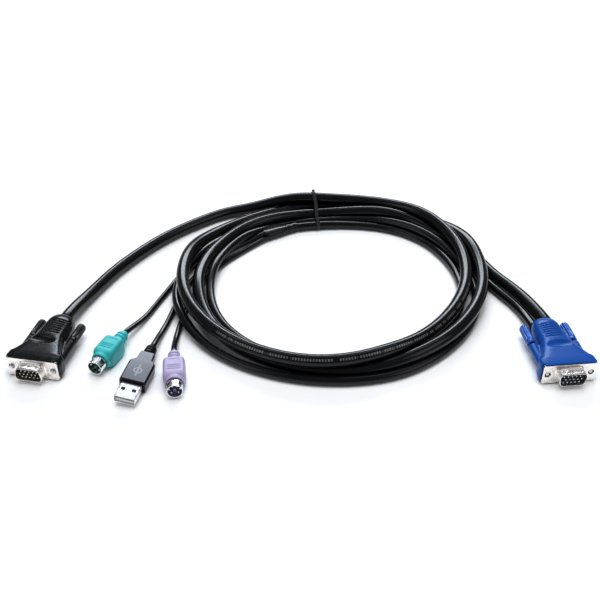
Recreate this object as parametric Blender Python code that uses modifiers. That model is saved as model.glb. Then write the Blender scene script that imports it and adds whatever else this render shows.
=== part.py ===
"""Combined video, USB and PS/2 cable, coiled and tied.

One end has a blue 15-pin video plug.  The other end splits into a black
15-pin video plug, a USB plug and two round 6-pin plugs, one green and one
purple.  The surplus lies in a round coil held by a twist tie.

Metres, +Z up.  Everything lies on z = 0.  The origin is under the middle of
the five plugs.
"""
import math

import bmesh
import bpy
from mathutils import Matrix, Vector

MM = 0.001

# --------------------------------------------------------------------------
# Driving dimensions, in millimetres
# --------------------------------------------------------------------------
GAP = 0.3                      # clearance between pieces that touch

# where the plugs and the coil lie; the shift puts the origin in the middle
# of the plugs' footprint
SHIFT = (-0.2, 65.8)

# 15-pin video plug
FLANGE_W, FLANGE_H, FLANGE_T = 30.8, 12.5, 0.8
FLANGE_Z = 0.7                 # lower edge of the flange above the floor
AXIS_Z = FLANGE_Z + FLANGE_H / 2
SCREW_U = 12.5                 # half of the 24.99 mm jack-screw spacing
SHROUD_W, SHROUD_H, SHROUD_D = 16.9, 8.36, 6.0
SHROUD_R, SHROUD_T = 2.6, 0.45
SHROUD_SLOPE = math.radians(10.0)
PIN_PITCH, PIN_ROWS, PIN_D = 2.29, 1.98, 0.76
HOOD_END = 45.2                # back of the hood behind the flange's face
SLEEVE_R, SLEEVE_END = 2.6, 25.8
KNOB_FRONT, SCREW_BEHIND = 27.6, 27.2      # knob's front, and the screw's nose ahead of it
SCREW_R, SCREW_HOLE_R = 1.42, 1.75
KNOB_R, KNOB_L = 2.75, 16.2

# round 6-pin plug
DIN_R, DIN_T = 4.475, 0.4
DIN_AXIS_Z = 6.0
DIN_W, DIN_H = 13.1, 12.0
DIN_BLOCK = (8.3, 23.8)        # front and back of the grip block
DIN_END = 34.0                 # back of the strain relief

# USB plug
USB_SHELL = (12.0, 4.5, 11.8)  # width, height, length in front of the grip
USB_SHELL_T = 0.32
USB_W, USB_H = 15.2, 7.4
USB_BLOCK_L, USB_NECK_L, USB_END = 18.6, 26.6, 35.0

# cords
VIDEO_D = 8.0
DATA_D = 5.6
THIN_D = 3.6
TIE_D = 1.7

# coil
COIL_C = (21.0, 13.5)
COIL_IN, COIL_OUT, COIL_H = 75.5, 103.5, 16.0
TIE_ANGLE = math.radians(96.3)

# plug poses: x, y, height of the plug's own axis, yaw and roll in degrees
POSE_BLACK = (-151.0, -76.0, 0.0, -10.7, 0.0)
POSE_BLUE = (151.0, -80.0, 0.0, 6.2, 0.0)
POSE_GREEN = (-116.4, -74.4, DIN_AXIS_Z, -20.5, 0.0)
POSE_PURPLE = (-68.6, -94.0, DIN_AXIS_Z, 7.5, 0.0)
POSE_USB = (-93.1, -88.5, 4.95, -11.0, -8.0)

# --------------------------------------------------------------------------
# Scene and materials
# --------------------------------------------------------------------------
for old in list(bpy.data.objects):
    bpy.data.objects.remove(old, do_unlink=True)

PARTS = bpy.data.collections.new("combined_cable")
CUTTERS = bpy.data.collections.new("cutters")
bpy.context.scene.collection.children.link(PARTS)
bpy.context.scene.collection.children.link(CUTTERS)


def material(name, colour, rough, metal=0.0):
    m = bpy.data.materials.new(name)
    m.use_nodes = True
    b = m.node_tree.nodes["Principled BSDF"]
    b.inputs["Base Color"].default_value = (*colour, 1.0)
    b.inputs["Roughness"].default_value = rough
    b.inputs["Metallic"].default_value = metal
    return m


MAT = {
    "black": material("black_pvc", (0.012, 0.012, 0.015), 0.30),
    "blue": material("blue_pvc", (0.010, 0.085, 0.42), 0.38),
    "green": material("green_pvc", (0.035, 0.46, 0.42), 0.40),
    "purple": material("purple_pvc", (0.52, 0.44, 0.76), 0.42),
    "nickel": material("nickel_plate", (0.80, 0.77, 0.72), 0.25, 1.0),
    "steel": material("steel", (0.70, 0.70, 0.72), 0.25, 1.0),
    "navy": material("navy_insulator", (0.010, 0.045, 0.085), 0.40),
    "brown": material("dark_insulator", (0.018, 0.010, 0.010), 0.40),
    "dkgreen": material("green_insulator", (0.012, 0.20, 0.10), 0.40),
    "dkpurple": material("purple_insulator", (0.22, 0.19, 0.34), 0.40),
    "white": material("white_tongue", (0.75, 0.75, 0.74), 0.45),
    "brass": material("plated_contact", (0.80, 0.66, 0.38), 0.25, 1.0),
}


def home(obj, collection, mat=None):
    for c in list(obj.users_collection):
        c.objects.unlink(obj)
    collection.objects.link(obj)
    if mat:
        obj.data.materials.clear()
        obj.data.materials.append(MAT[mat])
    return obj


def cutter(obj):
    home(obj, CUTTERS)
    obj.hide_render = True
    obj.display_type = "WIRE"
    return obj


def boolean(obj, tool, operation="DIFFERENCE"):
    m = obj.modifiers.new(operation.lower(), "BOOLEAN")
    m.object = tool
    m.operation = operation
    return m


def pose_matrix(pose):
    x, y, z, yaw, roll = pose
    return (Matrix.Translation(((x + SHIFT[0]) * MM, (y + SHIFT[1]) * MM, z * MM))
            @ Matrix.Rotation(math.radians(yaw), 4, "Z")
            @ Matrix.Rotation(math.radians(-roll), 4, "Y"))


def shade(obj, angle=35.0):
    obj.data.shade_smooth()
    obj.data.set_sharp_from_angle(angle=math.radians(angle))
    return obj


# --------------------------------------------------------------------------
# Shape helpers (plug frame: x to the right, y backward, z up; millimetres)
# --------------------------------------------------------------------------
def mesh_object(name, bm):
    bmesh.ops.recalc_face_normals(bm, faces=bm.faces)
    me = bpy.data.meshes.new(name)
    bm.to_mesh(me)
    bm.free()
    obj = bpy.data.objects.new(name, me)
    bpy.context.scene.collection.objects.link(obj)
    return obj


def loft(name, rings):
    """A closed body through rings of equal point counts."""
    bm = bmesh.new()
    loops = [[bm.verts.new(Vector(p) * MM) for p in ring] for ring in rings]
    n = len(loops[0])
    for a, b in zip(loops[:-1], loops[1:]):
        for i in range(n):
            j = (i + 1) % n
            bm.faces.new((a[i], a[j], b[j], b[i]))
    bm.faces.new(loops[0][::-1])
    bm.faces.new(loops[-1])
    return mesh_object(name, bm)


def box(name, lo, hi):
    bm = bmesh.new()
    bmesh.ops.create_cube(bm, size=1.0)
    size = [(b - a) * MM for a, b in zip(lo, hi)]
    mid = [(a + b) / 2 * MM for a, b in zip(lo, hi)]
    bmesh.ops.scale(bm, vec=size, verts=bm.verts)
    bmesh.ops.translate(bm, vec=mid, verts=bm.verts)
    return mesh_object(name, bm)


def rod(name, u, z, y0, y1, r, segments=16):
    """A cylinder along y."""
    bm = bmesh.new()
    bmesh.ops.create_cone(bm, cap_ends=True, segments=segments, radius1=r * MM,
                          radius2=r * MM, depth=(y1 - y0) * MM,
                          matrix=Matrix.Rotation(math.pi / 2, 4, "X"))
    bmesh.ops.translate(bm, vec=(u * MM, (y0 + y1) / 2 * MM, z * MM), verts=bm.verts)
    return mesh_object(name, bm)


def superellipse(a, h, cz, n, count, taper=0.0, y=0.0, top=None):
    """A rounded section in the xz plane; taper narrows it above and below."""
    pts = []
    for i in range(count):
        t = 2 * math.pi * (i + 0.5) / count
        c, s = math.cos(t), math.sin(t)
        x = a * math.copysign(abs(c) ** (2 / n), c)
        z = math.copysign(abs(s) ** (2 / n), s)
        x *= 1 - taper * abs(z)
        zz = cz + h * z
        if top is not None and z > 0:
            zz -= top(x, z)
        pts.append((x, y, zz))
    return pts


def blend_table(table, v):
    """Read a table of (v, value, value, ...) rows with smooth steps."""
    if v <= table[0][0]:
        return table[0][1:]
    for a, b in zip(table[:-1], table[1:]):
        if v <= b[0]:
            t = (v - a[0]) / (b[0] - a[0])
            t = t * t * (3 - 2 * t) * 0.35 + t * 0.65
            return tuple(p + (q - p) * t for p, q in zip(a[1:], b[1:]))
    return table[-1][1:]


def outline_solid(name, loops, y0, y1):
    """A flat outline in the xz plane, with holes, thickened along y."""
    cu = bpy.data.curves.new(name, "CURVE")
    cu.dimensions = "2D"
    cu.fill_mode = "BOTH"
    cu.extrude = (y1 - y0) / 2 * MM
    for loop in loops:
        sp = cu.splines.new("POLY")
        sp.points.add(len(loop) - 1)
        for p, (x, z) in zip(sp.points, loop):
            p.co = (x * MM, z * MM, 0.0, 1.0)
        sp.use_cyclic_u = True
    ob = bpy.data.objects.new(name + "_outline", cu)
    bpy.context.scene.collection.objects.link(ob)
    bpy.context.view_layer.update()
    me = bpy.data.meshes.new_from_object(ob.evaluated_get(bpy.context.evaluated_depsgraph_get()))
    bpy.data.objects.remove(ob, do_unlink=True)
    bm = bmesh.new()
    bm.from_mesh(me)
    bpy.data.meshes.remove(me)
    bmesh.ops.remove_doubles(bm, verts=bm.verts, dist=1e-6)
    # the outline was drawn in xy: stand it up in xz
    bmesh.ops.transform(bm, matrix=Matrix.Translation((0, (y0 + y1) / 2 * MM, 0))
                        @ Matrix.Rotation(math.pi / 2, 4, "X"), verts=bm.verts)
    return mesh_object(name, bm)


def rounded_polygon(corners, radius, steps=3):
    """Corner points to a loop with arcs of one radius at each corner."""
    out = []
    n = len(corners)
    for i in range(n):
        p = Vector(corners[i])
        a = (Vector(corners[i - 1]) - p).normalized()
        b = (Vector(corners[(i + 1) % n]) - p).normalized()
        half = a.angle(b) / 2
        d = radius / math.tan(half)
        mid = (a + b).normalized()
        centre = p + mid * (radius / math.sin(half))
        s, e = p + a * d - centre, p + b * d - centre
        a0 = math.atan2(s.y, s.x)
        da = math.atan2(e.y, e.x) - a0
        da = (da + math.pi) % (2 * math.pi) - math.pi
        for k in range(steps + 1):
            t = a0 + da * k / steps
            out.append((centre.x + radius * math.cos(t), centre.y + radius * math.sin(t)))
    return out


def d_loop(offset, flip, steps=3):
    """The D outline of the shroud, grown by offset; flip puts the wide side down."""
    s = -1 if flip else 1
    h = SHROUD_H / 2
    lean = SHROUD_H * math.tan(SHROUD_SLOPE) / 2
    w = SHROUD_W / 2 - lean
    grow = offset / math.cos(SHROUD_SLOPE)
    dz = h + offset
    k = math.tan(SHROUD_SLOPE)
    wide, narrow = w + k * dz + grow, w - k * dz + grow
    pts = [(-narrow, AXIS_Z - s * dz), (narrow, AXIS_Z - s * dz),
           (wide, AXIS_Z + s * dz), (-wide, AXIS_Z + s * dz)]
    if flip:
        pts.reverse()
    return rounded_polygon(pts, SHROUD_R + offset, steps)


def rect_loop(x0, x1, z0, z1, r, steps=2):
    return rounded_polygon([(x0, z0), (x1, z0), (x1, z1), (x0, z1)], r, steps)


def circle_loop(x, z, r, n=14):
    return [(x + r * math.cos(2 * math.pi * i / n), z + r * math.sin(2 * math.pi * i / n))
            for i in range(n)]


# --------------------------------------------------------------------------
# 15-pin video plug
# --------------------------------------------------------------------------
# station: v, half width, half height, centre height, squareness, taper
HOOD = [
    (0.3, 16.0, 6.85, 7.05, 10.0, 0.02),
    (3.2, 17.2, 7.05, 7.12, 9.0, 0.075),
    (6.8, 17.2, 7.10, 7.15, 8.0, 0.095),
    (8.6, 15.6, 7.10, 7.15, 7.0, 0.095),
    (11.0, 14.0, 7.10, 7.15, 6.5, 0.08),
    (13.5, 12.6, 7.10, 7.15, 6.0, 0.06),
    (16.5, 11.3, 7.10, 7.15, 5.0, 0.04),
    (20.0, 10.2, 7.15, 7.18, 4.0, 0.03),
    (24.0, 9.2, 7.25, 7.28, 3.0, 0.0),
    (30.0, 8.8, 7.25, 7.28, 2.6, 0.0),
    (37.0, 8.4, 7.15, 7.20, 2.4, 0.0),
    (40.5, 8.1, 6.85, 7.20, 2.4, 0.0),
    (43.0, 7.6, 6.20, 7.20, 2.3, 0.0),
    (44.6, 7.0, 5.50, 7.20, 2.2, 0.0),
    (HOOD_END, 6.4, 5.00, 7.20, 2.2, 0.0),
]
RIBS = [25.2 + 2.35 * i for i in range(6)]      # fronts of the relief grooves
RIB_W, RIB_DEPTH, RIB_HALF = 0.9, 0.55, 6.0


def hood_section(v, count, ribs=True):
    a, h, cz, n, taper = blend_table(HOOD, v)
    depth = 0.0
    if ribs:
        for r in RIBS:
            if r + 0.05 < v < r + RIB_W - 0.05:
                depth = RIB_DEPTH

    def groove(x, z):
        w = max(0.0, 1 - (abs(x) / RIB_HALF) ** 4)
        return depth * w * min(1.0, z * 1.5)
    return superellipse(a, h, cz, n, count, taper, v, groove if depth else None)


def hood_stations():
    vs = [row[0] for row in HOOD]
    for r in RIBS:
        vs += [r, r + 0.15, r + RIB_W - 0.15, r + RIB_W]
    return sorted(v for v in set(vs) if not any(r + 0.16 < v < r + RIB_W - 0.16 for r in RIBS))


def video_plug(prefix, pose, body_mat, insulator_mat, flip, screw_out):
    m = pose_matrix(pose)

    # hood: one moulding with two sleeves for the thumbscrews
    hood = loft(prefix + "_hood", [hood_section(v, 22) for v in hood_stations()])
    for s in (-1, 1):
        sleeve = cutter(rod(prefix + "_sleeve", s * SCREW_U, AXIS_Z, 3.0, SLEEVE_END, SLEEVE_R, 12))
        sleeve.matrix_world = m
        boolean(hood, sleeve, "UNION")
    tools = [box(prefix + "_flange_pocket", (-FLANGE_W / 2 - GAP, -1, FLANGE_Z - GAP),
                 (FLANGE_W / 2 + GAP, 2.0, FLANGE_Z + FLANGE_H + GAP)),
             outline_solid(prefix + "_cup_pocket", [d_loop(GAP + 0.05, flip)], 1.5, 11.5)]
    for s in (-1, 1):
        tools.append(rod(prefix + "_screw_hole", s * SCREW_U, AXIS_Z, -1, SLEEVE_END + 1,
                         SCREW_HOLE_R, 12))
    # thumb recess on top
    bm = bmesh.new()
    bmesh.ops.create_uvsphere(bm, u_segments=20, v_segments=10, radius=1.0)
    bmesh.ops.scale(bm, vec=(8.6 * MM, 3.6 * MM, 1.7 * MM), verts=bm.verts)
    bmesh.ops.translate(bm, vec=(0, 18.4 * MM, 14.75 * MM), verts=bm.verts)
    tools.append(mesh_object(prefix + "_thumb_recess", bm))
    for t in tools:
        cutter(t)
        t.matrix_world = m
        boolean(hood, t)
    hood.matrix_world = m
    home(hood, PARTS, body_mat)
    shade(hood)

    # front shell: flange with the D shroud drawn from it
    holes = [circle_loop(s * SCREW_U, AXIS_Z, SCREW_R + GAP, 12) for s in (-1, 1)]
    plate = outline_solid(prefix + "_front_shell",
                          [rect_loop(-FLANGE_W / 2, FLANGE_W / 2, FLANGE_Z,
                                     FLANGE_Z + FLANGE_H, 1.2, 2),
                           d_loop(-SHROUD_T, flip)] + holes, 0.0, FLANGE_T)
    shroud = outline_solid(prefix + "_shroud", [d_loop(0.0, flip), d_loop(-SHROUD_T, flip)],
                           -SHROUD_D, FLANGE_T / 2)
    cutter(shroud)
    shroud.matrix_world = m
    boolean(plate, shroud, "UNION")
    plate.matrix_world = m
    home(plate, PARTS, "nickel")

    # rear shell: second flange and the cup behind it
    y0 = FLANGE_T + GAP
    rear = outline_solid(prefix + "_rear_shell",
                         [rect_loop(-FLANGE_W / 2, FLANGE_W / 2, FLANGE_Z,
                                    FLANGE_Z + FLANGE_H, 1.2, 2),
                          d_loop(-SHROUD_T, flip)]
                         + [circle_loop(s * SCREW_U, AXIS_Z, SCREW_HOLE_R, 12) for s in (-1, 1)],
                         y0, y0 + 0.5)
    cup = outline_solid(prefix + "_cup", [d_loop(0.0, flip), d_loop(-SHROUD_T, flip)],
                        y0 + 0.25, 9.0)
    cutter(cup)
    cup.matrix_world = m
    boolean(rear, cup, "UNION")
    rear.matrix_world = m
    home(rear, PARTS, "nickel")

    # insulator: D block with a bore for each pin and a slot behind each row
    s = -1 if flip else 1
    ins = outline_solid(prefix + "_insulator", [d_loop(-SHROUD_T - GAP, flip)], 0.2, 9.6)
    rows = []
    for k in range(3):
        z = AXIS_Z + s * (1 - k) * PIN_ROWS
        shift = (0.5, -0.5, 0.5)[k] * PIN_PITCH / 2 * -s
        rows.append([((i - 2) * PIN_PITCH + shift, z) for i in range(5)])
    for k, row in enumerate(rows):
        for i, (u, z) in enumerate(row):
            bore = cutter(rod(f"{prefix}_bore_{k}_{i}", u, z, -1, 4.3, PIN_D / 2 + GAP, 8))
            bore.matrix_world = m
            boolean(ins, bore)
        slot = cutter(box(f"{prefix}_slot_{k}", (row[0][0] - 0.9, 3.4, row[0][1] - 0.72),
                          (row[-1][0] + 0.9, 12, row[0][1] + 0.72)))
        slot.matrix_world = m
        boolean(ins, slot)
    ins.matrix_world = m
    home(ins, PARTS, insulator_mat)

    # pins: each row of five stands on its own lead strip
    for k, row in enumerate(rows):
        strip = box(f"{prefix}_pin_row_{k + 1}", (row[0][0] - 0.42, 3.8, row[0][1] - 0.4),
                    (row[-1][0] + 0.42, 8.8, row[0][1] + 0.4))
        for i, (u, z) in enumerate(row):
            pin = cutter(rod(f"{prefix}_pin_{k}_{i}", u, z, -5.1, 4.2, PIN_D / 2, 8))
            pin.matrix_world = m
            boolean(strip, pin, "UNION")
        strip.matrix_world = m
        home(strip, PARTS, "nickel")

    # thumbscrews: steel screw with a fluted plastic knob, on their own axes
    knob_front = KNOB_FRONT - screw_out
    for side, s in (("left", -1), ("right", 1)):
        axis = m @ Matrix.Translation((s * SCREW_U * MM, 0, AXIS_Z * MM))
        pivot = bpy.data.objects.new(f"{prefix}_screw_{side}_axis", None)
        pivot.empty_display_size = 0.004
        pivot.matrix_world = axis
        PARTS.objects.link(pivot)

        screw = screw_body(f"{prefix}_screw_{side}", knob_front)
        knob = knob_body(f"{prefix}_knob_{side}", knob_front)
        for ob, mat in ((screw, "steel"), (knob, body_mat)):
            home(ob, PARTS, mat)
            ob.parent = pivot
            shade(ob)


def screw_body(name, knob_front):
    """Steel screw along y: threaded nose, shank and the end in the knob."""
    nose = knob_front - SCREW_BEHIND
    prof = [(0, nose), (1.0, nose), (SCREW_R, nose + 0.5), (SCREW_R, nose + 7.0),
            (1.15, nose + 7.3), (1.15, knob_front + 9.0), (0, knob_front + 9.0)]
    return turned(name, prof, 12)


def turned(name, profile, segments):
    """A profile of (radius, y) turned about the y axis with a Screw modifier."""
    me = bpy.data.meshes.new(name)
    # the profile runs top to bottom of the outer side, at +x
    pts = [(r * MM, 0.0, y * MM) for r, y in reversed(profile)]
    me.from_pydata(pts, [(i, i + 1) for i in range(len(pts) - 1)], [])
    ob = bpy.data.objects.new(name, me)
    bpy.context.scene.collection.objects.link(ob)
    sc = ob.modifiers.new("turn", "SCREW")
    sc.axis = "Z"
    sc.steps = segments
    sc.render_steps = segments
    sc.use_merge_vertices = True
    sc.merge_threshold = 0.000005
    ob.rotation_euler = (-math.pi / 2, 0, 0)
    bpy.context.view_layer.update()
    me2 = bpy.data.meshes.new_from_object(ob.evaluated_get(bpy.context.evaluated_depsgraph_get()))
    rot = ob.matrix_world.copy()
    bpy.data.objects.remove(ob, do_unlink=True)
    bm = bmesh.new()
    bm.from_mesh(me2)
    bpy.data.meshes.remove(me2)
    bmesh.ops.transform(bm, matrix=rot, verts=bm.verts)
    bmesh.ops.remove_doubles(bm, verts=bm.verts, dist=1e-7)
    return mesh_object(name, bm)


def knob_ring(y, r, flute, count=24, flutes=8):
    pts = []
    for i in range(count):
        t = 2 * math.pi * i / count
        rr = r - flute * (0.5 + 0.5 * math.cos(flutes * t))
        pts.append((rr * math.cos(t), y, rr * math.sin(t)))
    return pts


def knob_body(name, front):
    """Fluted knob with a plain collar at its front and a bore for the screw."""
    y = front
    rings = [knob_ring(y, 2.15, 0), knob_ring(y + 0.45, 2.55, 0), knob_ring(y + 2.2, 2.6, 0),
             knob_ring(y + 2.8, KNOB_R, 0.05), knob_ring(y + 3.4, KNOB_R, 0.35),
             knob_ring(y + 14.6, KNOB_R, 0.35), knob_ring(y + 15.6, 2.45, 0.2),
             knob_ring(y + KNOB_L, 1.75, 0.0)]
    knob = loft(name, rings)
    bore = rod(name + "_bore", 0, 0, y - 1, y + 9.4, 1.15 + GAP, 12)
    cutter(bore)
    boolean(knob, bore)
    bpy.context.view_layer.update()
    me = bpy.data.meshes.new_from_object(knob.evaluated_get(bpy.context.evaluated_depsgraph_get()))
    knob.modifiers.clear()
    knob.data = me
    bpy.data.objects.remove(bore, do_unlink=True)
    return knob


# --------------------------------------------------------------------------
# Round 6-pin plug
# --------------------------------------------------------------------------
def din_plug(prefix, pose, body_mat, insulator_mat):
    m = pose_matrix(pose)
    b0, b1 = DIN_BLOCK
    n = 20
    rings = []

    def sec(v, a, h, sq, taper=0.0):
        rings.append(superellipse(a, h, 0.0, sq, n, taper, v))
    sec(5.8, 5.25, 5.25, 2.0)
    sec(6.2, 5.55, 5.50, 2.0)
    sec(7.9, 5.65, 5.55, 2.0)
    sec(8.5, 6.15, 5.7, 3.2)
    sec(9.6, 6.45, 5.9, 5.0, 0.06)
    sec(10.6, DIN_W / 2, DIN_H / 2, 6.5, 0.10)
    sec(21.8, DIN_W / 2, DIN_H / 2, 6.5, 0.10)
    sec(b1 - 0.5, 6.1, 5.75, 5.5, 0.10)
    sec(b1, 5.4, 5.3, 5.0, 0.10)
    y = b1 + 0.05
    r = 4.15
    for k in range(3):
        sec(y, r - 0.75, r - 0.75, 2.2)
        sec(y + 0.9, r - 0.75, r - 0.75, 2.2)
        sec(y + 1.0, r, r, 2.2)
        sec(y + 2.6, r - 0.1, r - 0.1, 2.2)
        y += 2.75
        r -= 0.3
    sec(y, r - 0.55, r - 0.55, 2.0)
    sec(DIN_END, 2.5, 2.5, 2.0)
    body = loft(prefix + "_body", rings)
    bore = cutter(rod(prefix + "_bore", 0, 0, 4, 15.0, DIN_R + GAP, 20))
    bore.matrix_world = m
    boolean(body, bore)
    body.matrix_world = m
    home(body, PARTS, body_mat)
    shade(body)

    # steel shell: a tube with two keyed windows in its upper half
    shell = outline_solid(prefix + "_shell", [circle_loop(0, 0, DIN_R, 24),
                                              circle_loop(0, 0, DIN_R - DIN_T, 24)], 0.0, 14.5)
    for k, a in enumerate((-48, 48)):
        w = cutter(box(f"{prefix}_window_{k}", (-1.25, 2.4, 2.0), (1.25, 5.2, 6.0)))
        w.matrix_world = m @ Matrix.Rotation(math.radians(a), 4, "Y")
        boolean(shell, w)
    shell.matrix_world = m
    home(shell, PARTS, "steel")
    shade(shell)

    # insulator: disc with the rectangular key post, bored for the pins
    spots = [(-3.05, 0.55), (3.05, 0.55), (-1.95, -1.95), (1.95, -1.95), (-1.25, 2.55), (1.25, 2.55)]
    ins = rod(prefix + "_insulator", 0, 0, 5.6, 13.5, DIN_R - DIN_T - GAP, 22)
    key = cutter(box(prefix + "_key", (-0.75, 1.2, -0.95), (0.75, 6.4, 0.95)))
    key.matrix_world = m
    boolean(ins, key, "UNION")
    for k, (u, z) in enumerate(spots):
        w = cutter(rod(f"{prefix}_pin_bore_{k}", u, z, 4, 16, 0.45 + 0.12 + 0.18, 8))
        w.matrix_world = m
        boolean(ins, w)
    ins.matrix_world = m
    home(ins, PARTS, insulator_mat)

    for k, (u, z) in enumerate(spots):
        pin = rod(f"{prefix}_pin_{k + 1}", u, z, 1.4, 13.0, 0.45, 8)
        pin.matrix_world = m
        home(pin, PARTS, "nickel")
        shade(pin)


# --------------------------------------------------------------------------
# USB plug
# --------------------------------------------------------------------------
def usb_plug(prefix, pose):
    m = pose_matrix(pose)
    w, h, length = USB_SHELL
    n = 24
    rings = []

    def sec(v, a, hh, sq, taper=0.0, cz=0.0):
        rings.append(superellipse(a, hh, cz, sq, n, taper, v))
    sec(0.0, 7.2, 3.35, 8.0)
    sec(0.7, USB_W / 2, USB_H / 2, 9.0)
    sec(17.2, USB_W / 2 - 0.15, USB_H / 2, 9.0)
    sec(USB_BLOCK_L, 6.6, 3.6, 7.0)
    sec(USB_BLOCK_L + 0.7, 4.9, 3.5, 6.0)
    sec(USB_NECK_L - 0.6, 4.6, 3.45, 5.0)
    sec(USB_NECK_L, 4.35, 3.4, 3.5)
    y, r = USB_NECK_L + 0.05, 3.75
    for k in range(3):
        sec(y, r - 0.6, r - 0.6, 2.0)
        sec(y + 0.7, r - 0.6, r - 0.6, 2.0)
        sec(y + 0.8, r, r, 2.0)
        sec(y + 2.1, r - 0.05, r - 0.05, 2.0)
        y += 2.25
        r -= 0.2
    sec(y, r - 0.4, r - 0.4, 2.0)
    sec(USB_END, 2.45, 2.45, 2.0)
    body = loft(prefix + "_body", rings)
    pocket = cutter(box(prefix + "_pocket", (-w / 2 - GAP, -1, -h / 2 - GAP),
                        (w / 2 + GAP, 8.3, h / 2 + GAP)))
    pocket.matrix_world = m
    boolean(body, pocket)
    body.matrix_world = m
    home(body, PARTS, "black")
    shade(body)

    # folded steel shell, open at both ends, with two latch windows on top
    # and two below
    shell = outline_solid(prefix + "_shell",
                          [rect_loop(-w / 2, w / 2, -h / 2, h / 2, 0.6, 2),
                           rect_loop(-w / 2 + USB_SHELL_T, w / 2 - USB_SHELL_T,
                                     -h / 2 + USB_SHELL_T, h / 2 - USB_SHELL_T, 0.28, 2)],
                          -length, 8.0)
    for k, u in enumerate((-3.1, 3.1)):
        win = cutter(box(f"{prefix}_window_{k}", (u - 1.15, -6.3, -5), (u + 1.15, -4.1, 5)))
        win.matrix_world = m
        boolean(shell, win)
    shell.matrix_world = m
    home(shell, PARTS, "steel")

    # tongue: plastic carrier for the four contacts, in the lower half
    lo, hi = -h / 2 + USB_SHELL_T + GAP, h / 2 - USB_SHELL_T - GAP
    ww = w / 2 - USB_SHELL_T - GAP
    tongue = box(prefix + "_tongue", (-ww, -length + 0.6, lo), (ww, 7.6, lo + 1.75))
    back = cutter(box(prefix + "_carrier", (-ww, -0.6, lo), (ww, 7.6, hi)))
    back.matrix_world = m
    boolean(tongue, back, "UNION")
    xs = (-3.5, -1.0, 1.0, 3.5)
    for k, u in enumerate(xs):
        ch = cutter(box(f"{prefix}_channel_{k}", (u - 0.5 - GAP, -length + 1.6, lo + 1.15),
                        (u + 0.5 + GAP, 9.0, lo + 2.15)))
        ch.matrix_world = m
        boolean(tongue, ch)
    tongue.matrix_world = m
    home(tongue, PARTS, "white")
    for k, u in enumerate(xs):
        c = box(f"{prefix}_contact_{k + 1}", (u - 0.5, -length + 2.0, lo + 1.45),
                (u + 0.5, 7.4, lo + 1.8))
        c.matrix_world = m
        home(c, PARTS, "brass")


# --------------------------------------------------------------------------
# Cords
# --------------------------------------------------------------------------
def smooth_route(points, spacing, before=None):
    """Points on a centripetal curve through the route, evenly spaced."""
    pts = [Vector(p) for p in points]
    first = Vector(before) if before else pts[0] * 2 - pts[1]
    pts = [first] + pts + [pts[-1] * 2 - pts[-2]]
    fine = []
    for i in range(1, len(pts) - 2):
        p0, p1, p2, p3 = pts[i - 1:i + 3]
        t0 = 0.0
        t1 = t0 + (p1 - p0).length ** 0.5
        t2 = t1 + (p2 - p1).length ** 0.5
        t3 = t2 + (p3 - p2).length ** 0.5
        for k in range(24):
            t = t1 + (t2 - t1) * k / 24
            a1 = p0 * ((t1 - t) / (t1 - t0)) + p1 * ((t - t0) / (t1 - t0))
            a2 = p1 * ((t2 - t) / (t2 - t1)) + p2 * ((t - t1) / (t2 - t1))
            a3 = p2 * ((t3 - t) / (t3 - t2)) + p3 * ((t - t2) / (t3 - t2))
            b1 = a1 * ((t2 - t) / (t2 - t0)) + a2 * ((t - t0) / (t2 - t0))
            b2 = a2 * ((t3 - t) / (t3 - t1)) + a3 * ((t - t1) / (t3 - t1))
            fine.append(b1 * ((t2 - t) / (t2 - t1)) + b2 * ((t - t1) / (t2 - t1)))
    fine.append(pts[-2])
    total = sum((b - a).length for a, b in zip(fine[:-1], fine[1:]))
    count = max(3, round(total / spacing))
    out, walked, k = [fine[0]], 0.0, 0
    for i in range(1, count):
        goal = total * i / count
        while walked + (fine[k + 1] - fine[k]).length < goal:
            walked += (fine[k + 1] - fine[k]).length
            k += 1
        seg = fine[k + 1] - fine[k]
        out.append(fine[k] + seg * ((goal - walked) / seg.length))
    out.append(fine[-1])
    return out


def cord(name, route, diameter, mat="black", per=2.6):
    # the first stretch comes straight out of the plug
    pts = [Vector(route[0])] + smooth_route(route[1:], diameter * per, route[0])
    cu = bpy.data.curves.new(name, "CURVE")
    cu.dimensions = "3D"
    cu.bevel_depth = diameter / 2 * MM
    cu.bevel_resolution = 2
    cu.use_fill_caps = True
    sp = cu.splines.new("POLY")
    sp.points.add(len(pts) - 1)
    for p, q in zip(sp.points, pts):
        p.co = ((q.x + SHIFT[0]) * MM, (q.y + SHIFT[1]) * MM, q.z * MM, 1.0)
    ob = bpy.data.objects.new(name, cu)
    bpy.context.scene.collection.objects.link(ob)
    return home(ob, PARTS, mat)


def plug_point(pose, u, v, z):
    """A point of a plug's own frame on the sheet, before the shift."""
    p = pose_matrix(pose) @ Vector((u * MM, v * MM, z * MM)) / MM
    return (p.x - SHIFT[0], p.y - SHIFT[1], p.z)


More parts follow.
